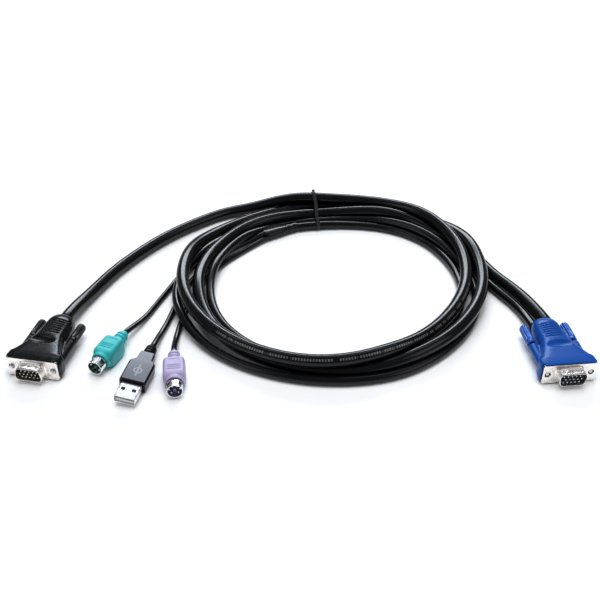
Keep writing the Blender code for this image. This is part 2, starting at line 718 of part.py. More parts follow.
def cords():
    zv, zd, zt = VIDEO_D / 2 + 0.05, DATA_D / 2 + 0.12, THIN_D / 2 + 0.05
    cord("video_cord_black_end",
         [plug_point(POSE_BLACK, 0, HOOD_END + GAP, 7.2), plug_point(POSE_BLACK, 0, 49.5, 7.2),
          plug_point(POSE_BLACK, 0.3, 62, 6.0),
          (-135.5, 3.0, 4.6), (-121.4, 38.3, zv), (-100.5, 71.5, zv), (-73.1, 98.2, zv),
          (-47.0, 112.6, zv), (-24.0, 119.9, zv), (-6.0, 121.9, zv)], VIDEO_D)
    cord("video_cord_blue_end",
         [plug_point(POSE_BLUE, 2.5, HOOD_END + GAP, 7.2), plug_point(POSE_BLUE, 2.5, 49.0, 7.2),
          (142.0, -14.0, 4.9), (136.0, 3.0, zv), (128.9, 20.0, zv)], VIDEO_D)
    cord("data_cord_blue_end",
         [plug_point(POSE_BLUE, -4.9, HOOD_END + GAP, 4.6), plug_point(POSE_BLUE, -4.9, 48.5, 4.6),
          (134.4, -19.0, zd), (129.2, -8.5, zd), (127.0, -2.0, zd)], DATA_D)
    cord("thin_cord_green",
         [plug_point(POSE_GREEN, 0, DIN_END + GAP, 0), plug_point(POSE_GREEN, 0, 36.5, 0),
          (-95.6, -21.5, 2.4), (-89.4, -3.5, zt), (-85.0, 9.0, zt)], THIN_D)
    cord("thin_cord_usb",
         [plug_point(POSE_USB, 0, USB_END + GAP, 0), plug_point(POSE_USB, 0, 37.5, 0),
          (-83.8, -37.5, 2.4), (-81.6, -27.5, zt), (-80.2, -19.5, zt)], THIN_D)
    cord("thin_cord_purple",
         [plug_point(POSE_PURPLE, 0, DIN_END + GAP, 0), plug_point(POSE_PURPLE, 0, 36.5, 0),
          (-74.2, -47.0, 2.6), (-74.1, -40.0, zt), (-73.9, -34.0, zt)], THIN_D)


def coil():
    """The tied coil as one turned ring, notched below for the tie."""
    r = 3.2
    ri, ro, h = COIL_IN, COIL_OUT, COIL_H
    prof = []
    for cx, cz, a0 in ((ro - r, h - r, 90), (ro - r, r, 0), (ri + r, r, -90), (ri + r, h - r, -180)):
        for k in range(3):
            a = math.radians(a0 - 45 * k)
            prof.append((cx + r * math.cos(a), 0, cz + r * math.sin(a)))
    me = bpy.data.meshes.new("coil")
    n = len(prof)
    me.from_pydata([Vector(p) * MM for p in prof], [(i, (i + 1) % n) for i in range(n)], [])
    ob = bpy.data.objects.new("coil", me)
    bpy.context.scene.collection.objects.link(ob)
    sc = ob.modifiers.new("turn", "SCREW")
    sc.axis = "Z"
    sc.steps = 60
    sc.render_steps = 60
    sc.use_merge_vertices = True
    sc.merge_threshold = 0.00001
    ob.matrix_world = Matrix.Translation(((COIL_C[0] + SHIFT[0]) * MM,
                                          (COIL_C[1] + SHIFT[1]) * MM, 0))
    notch = cutter(box("tie_notch", (ri - 4, -1.6, -2.0), (ro + 4, 1.6, 2.4)))
    notch.matrix_world = ob.matrix_world @ Matrix.Rotation(TIE_ANGLE, 4, "Z")
    boolean(ob, notch)
    return home(ob, PARTS, "black")


def twist_tie():
    """One wire round the coil's section, its two ends standing up outside."""
    ca, sa = math.cos(TIE_ANGLE), math.sin(TIE_ANGLE)

    def at(r, z, side=0.0):
        return Vector((COIL_C[0] + r * ca - side * sa, COIL_C[1] + r * sa + side * ca, z))
    d = TIE_D / 2 + 0.5
    ri, ro, h, lo = COIL_IN, COIL_OUT, COIL_H, TIE_D / 2 + 0.2
    r = 3.2 + d                                   # bend round the coil's corners

    def bend(r0, z0, a0, a1, side0=0.0, side1=0.0, steps=4):
        out = []
        for k in range(steps):
            t = k / (steps - 1)
            a = math.radians(a0 + (a1 - a0) * t)
            out.append(at(r0 + r * math.cos(a), z0 + r * math.sin(a), side0 + (side1 - side0) * t))
        return out
    route = [at(ro + 1.0, h + 5.6, 1.25), at(ro + 0.4, h + 3.2, 1.25)]
    route += [at(ro - 2.4, h + d + 0.2, 1.2), at(ro - 6, h + d, 0.6), at((ri + ro) / 2, h + d)]
    route += bend(ri + 3.2, h - 3.2, 90, 180)
    route += [at(ri - d, 4.4), at(ri - d + 0.5, 1.9), at(ri + 2.4, lo), at((ri + ro) / 2, lo),
              at(ro - 2.4, lo), at(ro + d - 0.5, 1.9), at(ro + d, 4.4)]
    route += bend(ro - 3.2, h - 3.2, 0, 40, 0.0, -1.0, 3)
    route += [at(ro + 0.9, h + 1.7, -1.25), at(ro + 1.2, h + 4.6, -1.25)]
    return cord("twist_tie", route, TIE_D, "black", 1.6)


video_plug("black_video", POSE_BLACK, "black", "brown", True, 1.4)
video_plug("blue_video", POSE_BLUE, "blue", "navy", False, 0.0)
din_plug("green_ps2", POSE_GREEN, "green", "dkgreen")
din_plug("purple_ps2", POSE_PURPLE, "purple", "dkpurple")
usb_plug("usb", POSE_USB)
cords()
coil()
twist_tie()
bpy.context.view_layer.update()
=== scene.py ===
"""Looks of the coiled and tied video, USB and PS/2 cable.

Metres in the shared frame: the origin is on the floor under the middle of the
five plugs, +Y runs from the plugs to the coil.  The tables below are in
millimetres on the cable's own sheet; SHIFT takes them to the shared frame.
"""
import math

import bmesh
import bpy
import numpy as np
from mathutils import Matrix, Vector


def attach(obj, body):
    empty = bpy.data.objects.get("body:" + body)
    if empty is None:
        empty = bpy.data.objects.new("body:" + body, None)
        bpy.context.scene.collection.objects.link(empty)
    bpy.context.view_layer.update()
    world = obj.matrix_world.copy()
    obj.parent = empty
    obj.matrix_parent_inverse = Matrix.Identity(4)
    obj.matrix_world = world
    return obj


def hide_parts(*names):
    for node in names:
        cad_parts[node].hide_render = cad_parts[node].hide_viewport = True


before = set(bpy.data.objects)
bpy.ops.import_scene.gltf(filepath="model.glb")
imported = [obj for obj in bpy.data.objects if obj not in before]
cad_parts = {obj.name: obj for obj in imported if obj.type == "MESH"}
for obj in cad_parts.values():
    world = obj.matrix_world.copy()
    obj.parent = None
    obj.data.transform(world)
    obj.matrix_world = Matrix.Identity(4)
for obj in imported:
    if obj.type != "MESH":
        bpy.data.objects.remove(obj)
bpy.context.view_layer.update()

MM = 0.001
SHIFT = (-0.2, 65.8)
COLL = bpy.context.scene.collection

# --------------------------------------------------------------------------
# Camera: 35.8 degrees down, 548 mm from the middle of the picture
# --------------------------------------------------------------------------
ELEV = math.radians(35.8)
DIST = 0.548
cam_data = bpy.data.cameras.new("camera")
cam_data.sensor_width = 36.0
cam_data.lens = 36.0 * 855.0 / 600.0
cam_data.clip_start = 0.01
cam = bpy.data.objects.new("camera", cam_data)
cam.location = (SHIFT[0] * MM, SHIFT[1] * MM - DIST * math.cos(ELEV), DIST * math.sin(ELEV))
cam.rotation_euler = (math.pi / 2 - ELEV, 0, 0)
COLL.objects.link(cam)
bpy.context.scene.camera = cam

# --------------------------------------------------------------------------
# Dimensions, in millimetres
# --------------------------------------------------------------------------
FLANGE_W, FLANGE_H, FLANGE_T = 30.8, 12.5, 0.8
FLANGE_Z = 0.7
AXIS_Z = FLANGE_Z + FLANGE_H / 2
SCREW_U = 12.5
SHROUD_W, SHROUD_H, SHROUD_D = 16.9, 8.36, 6.0
SHROUD_R, SHROUD_T = 2.6, 0.45
SHROUD_SLOPE = math.radians(10.0)
GAP = 0.3
HOOD_END = 45.2
SLEEVE_R, SLEEVE_END = 2.6, 25.8
KNOB_FRONT, KNOB_R, KNOB_L = 27.6, 2.75, 16.2
DIN_AXIS_Z, DIN_R = 6.0, 4.475
DIN_W, DIN_H, DIN_BLOCK, DIN_END = 13.1, 12.0, (8.3, 23.8), 34.0
USB_SHELL = (12.0, 4.5, 11.8)
USB_W, USB_H = 15.2, 7.4
USB_BLOCK_L, USB_NECK_L, USB_END = 18.6, 26.6, 35.0
VIDEO_D, DATA_D, THIN_D, TIE_D = 8.0, 5.6, 3.6, 1.7
COIL_C = (21.0, 13.5)
TIE_DEG = 96.3

POSE_BLACK = (-151.0, -76.0, 0.0, -10.7, 0.0)
POSE_BLUE = (151.0, -80.0, 0.0, 6.2, 0.0)
POSE_GREEN = (-116.4, -74.4, DIN_AXIS_Z, -20.5, 0.0)
POSE_PURPLE = (-68.6, -94.0, DIN_AXIS_Z, 7.5, 0.0)
POSE_USB = (-93.1, -88.5, 4.95, -11.0, -8.0)


def pose_matrix(pose):
    x, y, z, yaw, roll = pose
    return (Matrix.Translation(((x + SHIFT[0]) * MM, (y + SHIFT[1]) * MM, z * MM))
            @ Matrix.Rotation(math.radians(yaw), 4, "Z")
            @ Matrix.Rotation(math.radians(-roll), 4, "Y"))


def plug_point(pose, u, v, z):
    p = pose_matrix(pose) @ Vector((u * MM, v * MM, z * MM)) / MM
    return (p.x - SHIFT[0], p.y - SHIFT[1], p.z)


def in_frame(p):
    return Vector(((p[0] + SHIFT[0]) * MM, (p[1] + SHIFT[1]) * MM, p[2] * MM))


# --------------------------------------------------------------------------
# Materials
# --------------------------------------------------------------------------
class Nodes:
    """Short hand for building one material's node tree."""

    def __init__(self, name):
        self.m = bpy.data.materials.new(name)
        self.m.use_nodes = True
        self.t = self.m.node_tree
        self.b = self.t.nodes["Principled BSDF"]

    def n(self, kind, **kw):
        node = self.t.nodes.new(kind)
        for k, v in kw.items():
            setattr(node, k, v)
        return node

    def l(self, a, b):
        self.t.links.new(a, b)

    def coord(self, scale=None, kind="Object"):
        c = self.n("ShaderNodeTexCoord")
        if scale is None:
            return c.outputs[kind]
        mp = self.n("ShaderNodeMapping")
        mp.inputs["Scale"].default_value = scale
        self.l(c.outputs[kind], mp.inputs["Vector"])
        return mp.outputs["Vector"]

    def noise(self, vec, scale, detail=3.0, rough=0.55):
        t = self.n("ShaderNodeTexNoise")
        t.inputs["Scale"].default_value = scale
        t.inputs["Detail"].default_value = detail
        t.inputs["Roughness"].default_value = rough
        self.l(vec, t.inputs["Vector"])
        return t.outputs["Fac"]

    def math(self, op, a, b=None, c=None, clamp=False):
        t = self.n("ShaderNodeMath", operation=op, use_clamp=clamp)
        for i, x in enumerate((a, b, c)):
            if x is None:
                continue
            if isinstance(x, (int, float)):
                t.inputs[i].default_value = x
            else:
                self.l(x, t.inputs[i])
        return t.outputs[0]

    def remap(self, x, a, b, c, d):
        t = self.n("ShaderNodeMapRange")
        t.inputs["From Min"].default_value = a
        t.inputs["From Max"].default_value = b
        t.inputs["To Min"].default_value = c
        t.inputs["To Max"].default_value = d
        self.l(x, t.inputs["Value"])
        return t.outputs["Result"]

    def mix(self, fac, a, b):
        t = self.n("ShaderNodeMix", data_type="RGBA")
        if isinstance(fac, (int, float)):
            t.inputs[0].default_value = fac
        else:
            self.l(fac, t.inputs[0])
        for i, x in ((6, a), (7, b)):
            if isinstance(x, tuple):
                t.inputs[i].default_value = (*x, 1.0)
            else:
                self.l(x, t.inputs[i])
        return t.outputs[2]

    def bump(self, height, strength, distance, normal=None):
        t = self.n("ShaderNodeBump")
        t.inputs["Strength"].default_value = strength
        t.inputs["Distance"].default_value = distance
        self.l(height, t.inputs["Height"])
        if normal is not None:
            self.l(normal, t.inputs["Normal"])
        return t.outputs["Normal"]


def plastic(name, colour, dark, rough, grain=0.25, grain_scale=5200.0, specular=0.5,
            coat=0.0, subsurface=0.0, rough_span=0.10, mottling=0.5, wave=0.0):
    """Moulded plastic: faint flow mottling, fine grain and uneven gloss."""
    k = Nodes(name)
    c = k.coord()
    flow = k.noise(c, 90.0, 4.0, 0.6)
    k.l(k.mix(k.remap(flow, 0.35, 0.65, 0.0, mottling), colour, dark), k.b.inputs["Base Color"])
    handling = k.noise(c, 260.0, 5.0, 0.65)
    k.l(k.remap(handling, 0.3, 0.7, rough - rough_span / 2, rough + rough_span / 2),
        k.b.inputs["Roughness"])
    fine = k.noise(c, grain_scale, 2.0, 0.5)
    nrm = k.bump(fine, grain, 0.00003)
    if wave:
        nrm = k.bump(k.noise(c, 240.0, 2.0, 0.5), wave, 0.0003, nrm)
    k.l(nrm, k.b.inputs["Normal"])
    k.b.inputs["Specular IOR Level"].default_value = specular
    if coat:
        k.b.inputs["Coat Weight"].default_value = coat
        k.b.inputs["Coat Roughness"].default_value = 0.12
    if subsurface:
        k.b.inputs["Subsurface Weight"].default_value = subsurface
        k.b.inputs["Subsurface Radius"].default_value = (0.0012, 0.0012, 0.0016)
        k.b.inputs["Subsurface Scale"].default_value = 1.0
    return k.m


def metal(name, colour, tint, rough, scratch=0.3, brushed=(60.0, 900.0, 60.0)):
    """Plated sheet: fine drawn lines, small rubs and a warm tint in patches."""
    k = Nodes(name)
    c = k.coord()
    k.l(k.mix(k.remap(k.noise(c, 160.0, 4.0), 0.35, 0.7, 0.0, 0.8), colour, tint),
        k.b.inputs["Base Color"])
    k.b.inputs["Metallic"].default_value = 1.0
    lines = k.noise(k.coord(brushed), 9.0, 3.0, 0.6)
    rub = k.noise(c, 420.0, 5.0, 0.7)
    k.l(k.math("ADD", k.remap(lines, 0.3, 0.7, rough - 0.05, rough + 0.05),
               k.remap(rub, 0.5, 0.75, 0.0, 0.09)), k.b.inputs["Roughness"])
    k.l(k.bump(lines, scratch, 0.00002), k.b.inputs["Normal"])
    return k.m


def cord_material(name, printed=None):
    """Glossy black jacket, drawn lengthwise; UV runs u = mm along, v = turn."""
    k = Nodes(name)
    uv = k.n("ShaderNodeTexCoord").outputs["UV"]
    sep = k.n("ShaderNodeSeparateXYZ")
    k.l(uv, sep.inputs[0])
    u, v = sep.outputs[0], sep.outputs[1]
    c = k.coord()
    base = k.mix(k.remap(k.noise(c, 120.0, 4.0), 0.3, 0.7, 0.0, 1.0),
                 (0.0032, 0.0033, 0.0045), (0.0060, 0.0060, 0.0078))
    scuff = k.noise(c, 520.0, 5.0, 0.7)
    rough = k.remap(scuff, 0.35, 0.75, 0.17, 0.26)
    if printed:
        u0, u1, v0 = printed
        # a row of short dashes in groups, like a plain wire mark
        stretch = k.n("ShaderNodeCombineXYZ")
        k.l(k.math("MULTIPLY", u, 0.55), stretch.inputs[0])
        groups = k.math("GREATER_THAN", k.noise(stretch.outputs[0], 0.42, 0.0), 0.40)
        dash = k.math("LESS_THAN", k.math("FRACT", k.math("MULTIPLY", u, 0.62)), 0.62)
        row = k.math("LESS_THAN", k.math("ABSOLUTE", k.math("SUBTRACT", v, v0)), 0.030)
        span = k.math("MULTIPLY", k.math("GREATER_THAN", u, u0), k.math("LESS_THAN", u, u1))
        worn = k.remap(scuff, 0.3, 0.55, 1.0, 0.55)
        ink = k.math("MULTIPLY", k.math("MULTIPLY", groups, dash),
                     k.math("MULTIPLY", k.math("MULTIPLY", row, span), worn))
        base = k.mix(ink, base, (0.16, 0.165, 0.18))
    k.l(base, k.b.inputs["Base Color"])
    k.l(rough, k.b.inputs["Roughness"])
    k.b.inputs["Specular IOR Level"].default_value = 0.42
    # drawn lines along the jacket and a faint unevenness of its wall
    ring = k.n("ShaderNodeCombineXYZ")
    k.l(k.math("MULTIPLY", u, 0.02), ring.inputs[0])
    k.l(k.math("MULTIPLY", v, 34.0), ring.inputs[1])
    drawn = k.noise(ring.outputs[0], 1.0, 2.0, 0.5)
    n1 = k.bump(drawn, 0.06, 0.00006)
    n2 = k.bump(k.noise(c, 220.0, 2.0), 0.05, 0.0002, n1)
    k.l(k.bump(k.noise(c, 4200.0, 2.0), 0.08, 0.00002, n2), k.b.inputs["Normal"])
    return k.m


MAT = {
    "black": plastic("black_moulding", (0.0035, 0.0035, 0.0048), (0.006, 0.006, 0.008), 0.24,
                     grain=0.16, specular=0.38, mottling=0.8, wave=0.05, rough_span=0.08),
    "blue": plastic("blue_moulding", (0.003, 0.080, 0.34), (0.002, 0.062, 0.28), 0.34,
                    grain=0.28, specular=0.35, subsurface=0.12, wave=0.04),
    "blueknob": plastic("blue_knob", (0.016, 0.11, 0.42), (0.010, 0.085, 0.35), 0.32,
                        grain=0.2, subsurface=0.2),
    "green": plastic("green_moulding", (0.053, 0.46, 0.475), (0.042, 0.395, 0.41), 0.40,
                     grain=0.28, subsurface=0.15, wave=0.04),
    "purple": plastic("purple_moulding", (0.44, 0.395, 0.575), (0.39, 0.345, 0.52), 0.42,
                      grain=0.28, subsurface=0.15, wave=0.04),
    "nickel": metal("nickel_sheet", (0.93, 0.89, 0.86), (0.87, 0.82, 0.79), 0.28, scratch=0.15),
    "steel": metal("bright_steel", (0.93, 0.935, 0.95), (0.86, 0.86, 0.88), 0.26),
    "screw": metal("screw_steel", (0.66, 0.66, 0.68), (0.55, 0.55, 0.56), 0.26),
    "pin": metal("pin_plating", (0.82, 0.80, 0.76), (0.78, 0.74, 0.66), 0.24),
    "brass": metal("gilt_contact", (0.83, 0.68, 0.38), (0.78, 0.60, 0.30), 0.24),
    "navy": plastic("navy_insulator", (0.022, 0.105, 0.20), (0.017, 0.08, 0.155), 0.36),
    "brown": plastic("dark_insulator", (0.014, 0.008, 0.008), (0.010, 0.006, 0.006), 0.36),
    "dkgreen": plastic("green_insulator", (0.006, 0.16, 0.085), (0.004, 0.11, 0.06), 0.38),
    "dkpurple": plastic("purple_insulator", (0.20, 0.17, 0.32), (0.16, 0.135, 0.27), 0.38),
    "white": plastic("white_carrier", (0.74, 0.74, 0.73), (0.69, 0.69, 0.67), 0.42),
    # the USB grip's top plate is lighter than the black moulding: painted sheen, standing in for the overhead
    # light's reflection
    "sheen_plastic": plastic("usb_top_painted_sheen", (0.19, 0.196, 0.235), (0.16, 0.166, 0.20), 0.40,
                    grain=0.3, mottling=0.6),
    "ink": plastic("pale_mark", (0.36, 0.37, 0.41), (0.31, 0.32, 0.36), 0.5),
    "tie": plastic("tie_paper", (0.014, 0.014, 0.016), (0.022, 0.022, 0.024), 0.42, grain=0.6,
                   grain_scale=2600.0, mottling=0.9),
    "cord": cord_material("cord_jacket"),
}
floor_k = Nodes("floor_paper")
floor_c = floor_k.coord()
floor_k.l(floor_k.mix(floor_k.remap(floor_k.noise(floor_c, 3.0, 3.0), 0.3, 0.7, 0.0, 1.0),
                      (0.90, 0.90, 0.905), (0.885, 0.885, 0.89)), floor_k.b.inputs["Base Color"])
floor_k.b.inputs["Roughness"].default_value = 0.7
floor_k.b.inputs["Specular IOR Level"].default_value = 0.15


def finish_piece(ob, mat, body="cable"):
    ob.data.materials.clear()
    ob.data.materials.append(MAT[mat])
    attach(ob, body)
    return ob


# --------------------------------------------------------------------------
# Cords: routes
# --------------------------------------------------------------------------
def catmull(points, per=16):
    """Fine points on a centripetal curve through the route."""
    p = [np.array(q, float) for q in points]
    p = [p[0] * 2 - p[1]] + p + [p[-1] * 2 - p[-2]]
    out = []
    for i in range(1, len(p) - 2):
        p0, p1, p2, p3 = p[i - 1:i + 3]
        t0 = 0.0
        t1 = t0 + np.linalg.norm(p1 - p0) ** 0.5
        t2 = t1 + np.linalg.norm(p2 - p1) ** 0.5
        t3 = t2 + np.linalg.norm(p3 - p2) ** 0.5
        for k in range(per):
            t = t1 + (t2 - t1) * k / per
            a1 = p0 * ((t1 - t) / (t1 - t0)) + p1 * ((t - t0) / (t1 - t0))
            a2 = p1 * ((t2 - t) / (t2 - t1)) + p2 * ((t - t1) / (t2 - t1))
            a3 = p2 * ((t3 - t) / (t3 - t2)) + p3 * ((t - t2) / (t3 - t2))
            b1 = a1 * ((t2 - t) / (t2 - t0)) + a2 * ((t - t0) / (t2 - t0))
            b2 = a2 * ((t3 - t) / (t3 - t1)) + a3 * ((t - t1) / (t3 - t1))
            out.append(b1 * ((t2 - t) / (t2 - t1)) + b2 * ((t - t1) / (t2 - t1)))
    out.append(p[-2])
    return np.array(out)


def even(points, spacing):
    """The same route with evenly spaced points."""
    d = np.linalg.norm(np.diff(points, axis=0), axis=1)
    s = np.concatenate([[0], np.cumsum(d)])
    n = max(4, int(round(s[-1] / spacing)))
    t = np.linspace(0, s[-1], n + 1)
    return np.stack([np.interp(t, s, points[:, i]) for i in range(3)], axis=1)


def calm(points, rounds, fixed=2):
    """Relax small kinks; the first and last points stay."""
    p = points.copy()
    for _ in range(rounds):
        mid = (p[:-2] + p[2:]) / 2
        q = p.copy()
        q[1:-1] += 0.5 * (mid - p[1:-1])
        q[:fixed], q[-fixed:] = p[:fixed], p[-fixed:]
        p = q
    return p


def route_length(p):
    return float(np.linalg.norm(np.diff(p, axis=0), axis=1).sum())


# The coil, read clockwise from above.  Angle about the coil's middle in
# degrees, radius and height of the cord's middle.
STEP = 5
VIDEO_COIL = [
    (120, 111.4, 5.2), (115, 106.6, 7.0), (110, 103.0, 9.4), (105, 99.0, 11.0), (95.4, 95.9, 11.6),
    (85, 96.6, 11.6), (75, 98.8, 11.4), (68.7, 100.4, 11.2), (57.4, 101.6, 11.2), (44.3, 100.2, 11.2),
    (36.6, 98.2, 11.2), (24.9, 94.6, 11.2), (12.8, 90.4, 10.8), (4, 87.4, 10.1), (-7, 84.6, 9.9),
    (-23, 81.5, 9.7), (-41, 80.4, 9.7), (-52, 82.0, 9.7), (-62, 84.0, 9.9), (-73, 86.4, 10.4),
    (-90.5, 89.4, 11.2), (-103.6, 90.6, 11.4), (-124, 91.0, 11.2), (-135, 91.6, 11.2),
    (-146, 93.2, 11.6), (-161, 95.6, 12.8), (-173, 96.6, 13.6), (-188.6, 96.6, 13.4),
    (-199, 97.0, 10.5), (-209, 97.4, 7.0), (-218, 97.8, 4.6), (-230, 98.2, 4.0), (-243, 98.8, 4.0),
    (-255, 99.8, 4.4), (-265, 100.2, 4.8), (-275, 101.0, 4.4), (-291, 103.0, 4.2),
    (-305, 104.2, 4.2), (-316, 104.0, 6.4), (-329, 102.2, 9.0), (-340, 100.4, 10.6),
    (-352, 98.8, 10.8), (-361, 96.8, 10.4), (-368, 95.4, 10.0), (-379, 93.3, 9.8), (-391.6, 91.4, 9.7),
    (-404, 91.6, 9.4), (-415.5, 91.4, 8.6), (-426, 90.4, 7.0), (-437, 89.2, 5.2), (-450, 88.2, 4.1),
    (-462, 87.8, 4.0), (-478, 87.6, 4.0), (-490, 87.6, 4.0), (-505, 87.4, 4.4), (-515, 87.2, 5.6),
    (-527, 86.8, 7.2), (-540, 86.6, 7.6), (-552, 86.8, 7.4), (-565, 87.0, 7.0), (-577, 86.8, 6.0),
    (-592, 86.6, 4.6), (-607, 86.4, 4.2), (-624, 86.4, 4.8), (-636, 87.2, 5.6), (-644, 88.8, 7.6),
    (-652, 90.8, 9.5), (-659, 92.6, 9.6), (-666, 94.6, 8.4), (-674, 96.4, 5.6), (-682, 97.2, 4.2),
    (-692, 98.4, 4.0), (-701, 100.6, 4.0),
    (-707, 102.8, 4.0), (-715, 106.4, 4.05),
]
# counter-clockwise from the blue plug
DATA_COIL = [
    (0, 102.2, 2.9), (5, 98.8, 2.85), (15, 94.6, 2.85), (28, 91.8, 2.85), (38, 90.8, 2.85), (46, 90.6, 2.85),
    (54, 90.8, 2.85), (62, 91.8, 2.85), (70, 93.0, 2.85), (80, 93.4, 2.85), (96, 93.2, 3.6), (110, 91.6, 2.85),
    (125, 91.0, 2.85), (138, 91.0, 3.4), (148, 91.6, 4.6), (157, 93.4, 6.0), (165, 96.0, 6.4),
    (173, 98.6, 6.4), (182, 100.6, 6.4), (191, 101.8, 6.0), (200, 102.0, 4.4), (210, 101.4, 3.0),
    (222, 99.8, 2.85), (235, 97.6, 2.85), (250, 95.8, 2.85), (270, 94.9, 2.85), (290, 93.8, 2.85),
    (305, 93.6, 2.85), (320, 93.6, 2.85), (338, 94.0, 2.85), (350, 93.8, 2.85), (360, 92.4, 2.85),
    (375, 89.4, 3.2), (382, 88.6, 4.8), (390, 88.2, 7.2), (400, 87.8, 7.7), (410, 87.2, 7.6), (418, 86.2, 7.2),
    (426, 84.4, 6.0), (434, 82.0, 4.2), (444, 80.4, 2.9), (456, 79.6, 3.6), (470, 79.4, 3.0), (485, 79.3, 3.4),
    (498, 79.4, 5.0), (514, 79.3, 6.4), (531, 79.1, 6.2), (546, 79.2, 4.6), (562, 79.8, 3.2),
    (575, 80.8, 2.85), (586, 81.2, 2.85), (600, 81.2, 2.85), (630, 81.3, 2.85), (660, 81.6, 2.85),
    (691, 82.8, 2.85), (708, 83.8, 2.85), (720, 84.0, 2.85), (735, 84.2, 2.85), (748, 85.4, 2.85),
    (758, 85.6, 2.85), (766, 85.0, 2.85), (774, 84.0, 2.85), (782, 82.2, 2.85), (790, 79.4, 2.85),
    (800, 76.4, 2.85),
    (816, 74.0, 3.6), (830, 75.2, 3.5),
]
SPLIT = (109.0, 127.0, 75.4, 3.5)            # start and end angle, radius, height


def stations(table):
    """A table row for each 5 degrees."""
    t = np.array(table, float)
    if t[0, 0] > t[-1, 0]:
        t = t.copy()
        t[:, 0] *= -1
        sgn = -1
    else:
        sgn = 1
    fine = catmull([(a * 1.6, r, z) for a, r, z in t], 10)
    a0, a1 = int(round(t[0, 0] / STEP)), int(round(t[-1, 0] / STEP))
    ks = np.arange(a0, a1 + 1)
    ang = fine[:, 0] / 1.6
    r = np.interp(ks * STEP, ang, fine[:, 1])
    z = np.interp(ks * STEP, ang, fine[:, 2])
    return ks * sgn, r, z


def settle(strands, rounds):
    """Let strands that share a station rest on and beside each other.

    Each strand is (station numbers, radius, height, cord radius, hold).  They
    are pulled to their place and down, kept smooth, and pushed apart where
    they touch.
    """
    pos, target, size, station, prev, nxt, free = [], [], [], [], [], [], []
    spans = []
    for ks, r, z, rad, hold in strands:
        a = len(pos)
        n = len(ks)
        spans.append((a, a + n))
        for i in range(n):
            pos.append((r[i], z[i]))
            target.append((r[i], z[i]))
            size.append(rad)
            station.append(int(ks[i]) % 72)
            prev.append(a + max(i - 1, 0))
            nxt.append(a + min(i + 1, n - 1))
            free.append(0.0 if hold or i == 0 or i == n - 1 else 1.0)
    pos, target, size = np.array(pos, float), np.array(target, float), np.array(size)
    station, prev, nxt, free = np.array(station), np.array(prev), np.array(nxt), np.array(free)
    by = {}
    for i, s in enumerate(station):
        by.setdefault(int(s), []).append(i)
    pairs = []
    for members in by.values():
        for x in range(len(members)):
            for y in range(x + 1, len(members)):
                i, j = members[x], members[y]
                if prev[i] == j or nxt[i] == j:
                    continue
                pairs.append((i, j))
    pi, pj = np.array(pairs).T
    need = size[pi] + size[pj] + 0.12
    ang = station * STEP
    lift = 0.8 * np.exp(-(((ang - TIE_DEG + 180) % 360 - 180) / 6.0) ** 2)
    ground = size + 0.05 + lift
    wi, wj = free[pi], free[pj]
    tot = np.maximum(wi + wj, 1e-9)

    def apart(p):
        d = p[pj] - p[pi]
        dist = np.maximum(np.linalg.norm(d, axis=1), 1e-6)
        push = np.maximum(0.0, need - dist)
        unit = d / dist[:, None]
        np.add.at(p, pi, -unit * (push * wi / tot)[:, None])
        np.add.at(p, pj, unit * (push * wj / tot)[:, None])
        low = free > 0
        p[low, 1] = np.maximum(p[low, 1], ground[low])
    for it in range(rounds):
        f = free[:, None]
        p = pos
        p += f * (target - p) * 0.14
        p[:, 1] -= free * 0.02
        p += f * 0.30 * ((p[prev] + p[nxt]) / 2 - p)
        for _ in range(4):
            apart(p)
    for it in range(60):
        if it < 40:
            pos += free[:, None] * 0.10 * ((pos[prev] + pos[nxt]) / 2 - pos)
        apart(pos)
    left = need - 0.12 - np.linalg.norm(pos[pj] - pos[pi], axis=1)
    return [pos[a:b] for a, b in spans], float(left.max())


def coil_point(deg, r, z):
    a = math.radians(deg)
    return (COIL_C[0] + r * math.cos(a), COIL_C[1] + r * math.sin(a), z)


v_k, v_r, v_z = stations(VIDEO_COIL)
d_k, d_r, d_z = stations(DATA_COIL)
s_k = np.arange(23, 26)
# the thin cords cross under the coil on the floor, from the plugs to the sleeve
zv, zd, zt = VIDEO_D / 2 + 0.05, DATA_D / 2 + 0.12, THIN_D / 2 + 0.05
THIN_FLOOR = {
    "green": [(-89.4, -3.5, zt), (-85.0, 9.0, zt), (-79.4, 24.0, zt), (-71.6, 39.5, zt),
              (-60.6, 54.6, zt), (-47.6, 66.2, zt), (-36.0, 72.2, 2.0), (-26.9, 75.7, 2.6), (-23.9, 77.3, 2.7)],
    "usb": [(-81.6, -27.5, zt), (-80.2, -19.5, zt), (-77.6, -5.0, zt), (-73.4, 12.4, zt),
            (-66.2, 31.0, zt), (-56.4, 47.6, zt), (-43.6, 61.0, zt), (-33.6, 68.4, 3.2), (-25.6, 73.2, 5.0),
            (-22.5, 74.8, 5.0)],
    "purple": [(-74.1, -40.0, zt), (-73.4, -30.0, zt), (-71.2, -13.0, zt), (-67.4, 4.5, zt),
               (-60.8, 22.5, zt), (-51.4, 40.0, zt), (-39.6, 54.8, zt), (-31.6, 63.6, 2.0), (-24.3, 70.7, 2.6),
               (-21.3, 72.3, 2.7)],
}


def floor_stations(points):
    """The stations that a route on the floor passes."""
    fine = catmull(points, 12)
    ang = np.degrees(np.unwrap(np.arctan2(fine[:, 1] - COIL_C[1], fine[:, 0] - COIL_C[0])))
    ang = np.where(ang < 0, ang + 360, ang)
    r = np.hypot(fine[:, 0] - COIL_C[0], fine[:, 1] - COIL_C[1])
    order = np.argsort(ang)
    lo, hi = ang.min(), ang.max()
    ks = np.arange(math.ceil(lo / STEP), math.floor(hi / STEP) + 1)
    return (ks, np.interp(ks * STEP, ang[order], r[order]), np.interp(ks * STEP, ang[order], fine[order, 2]))


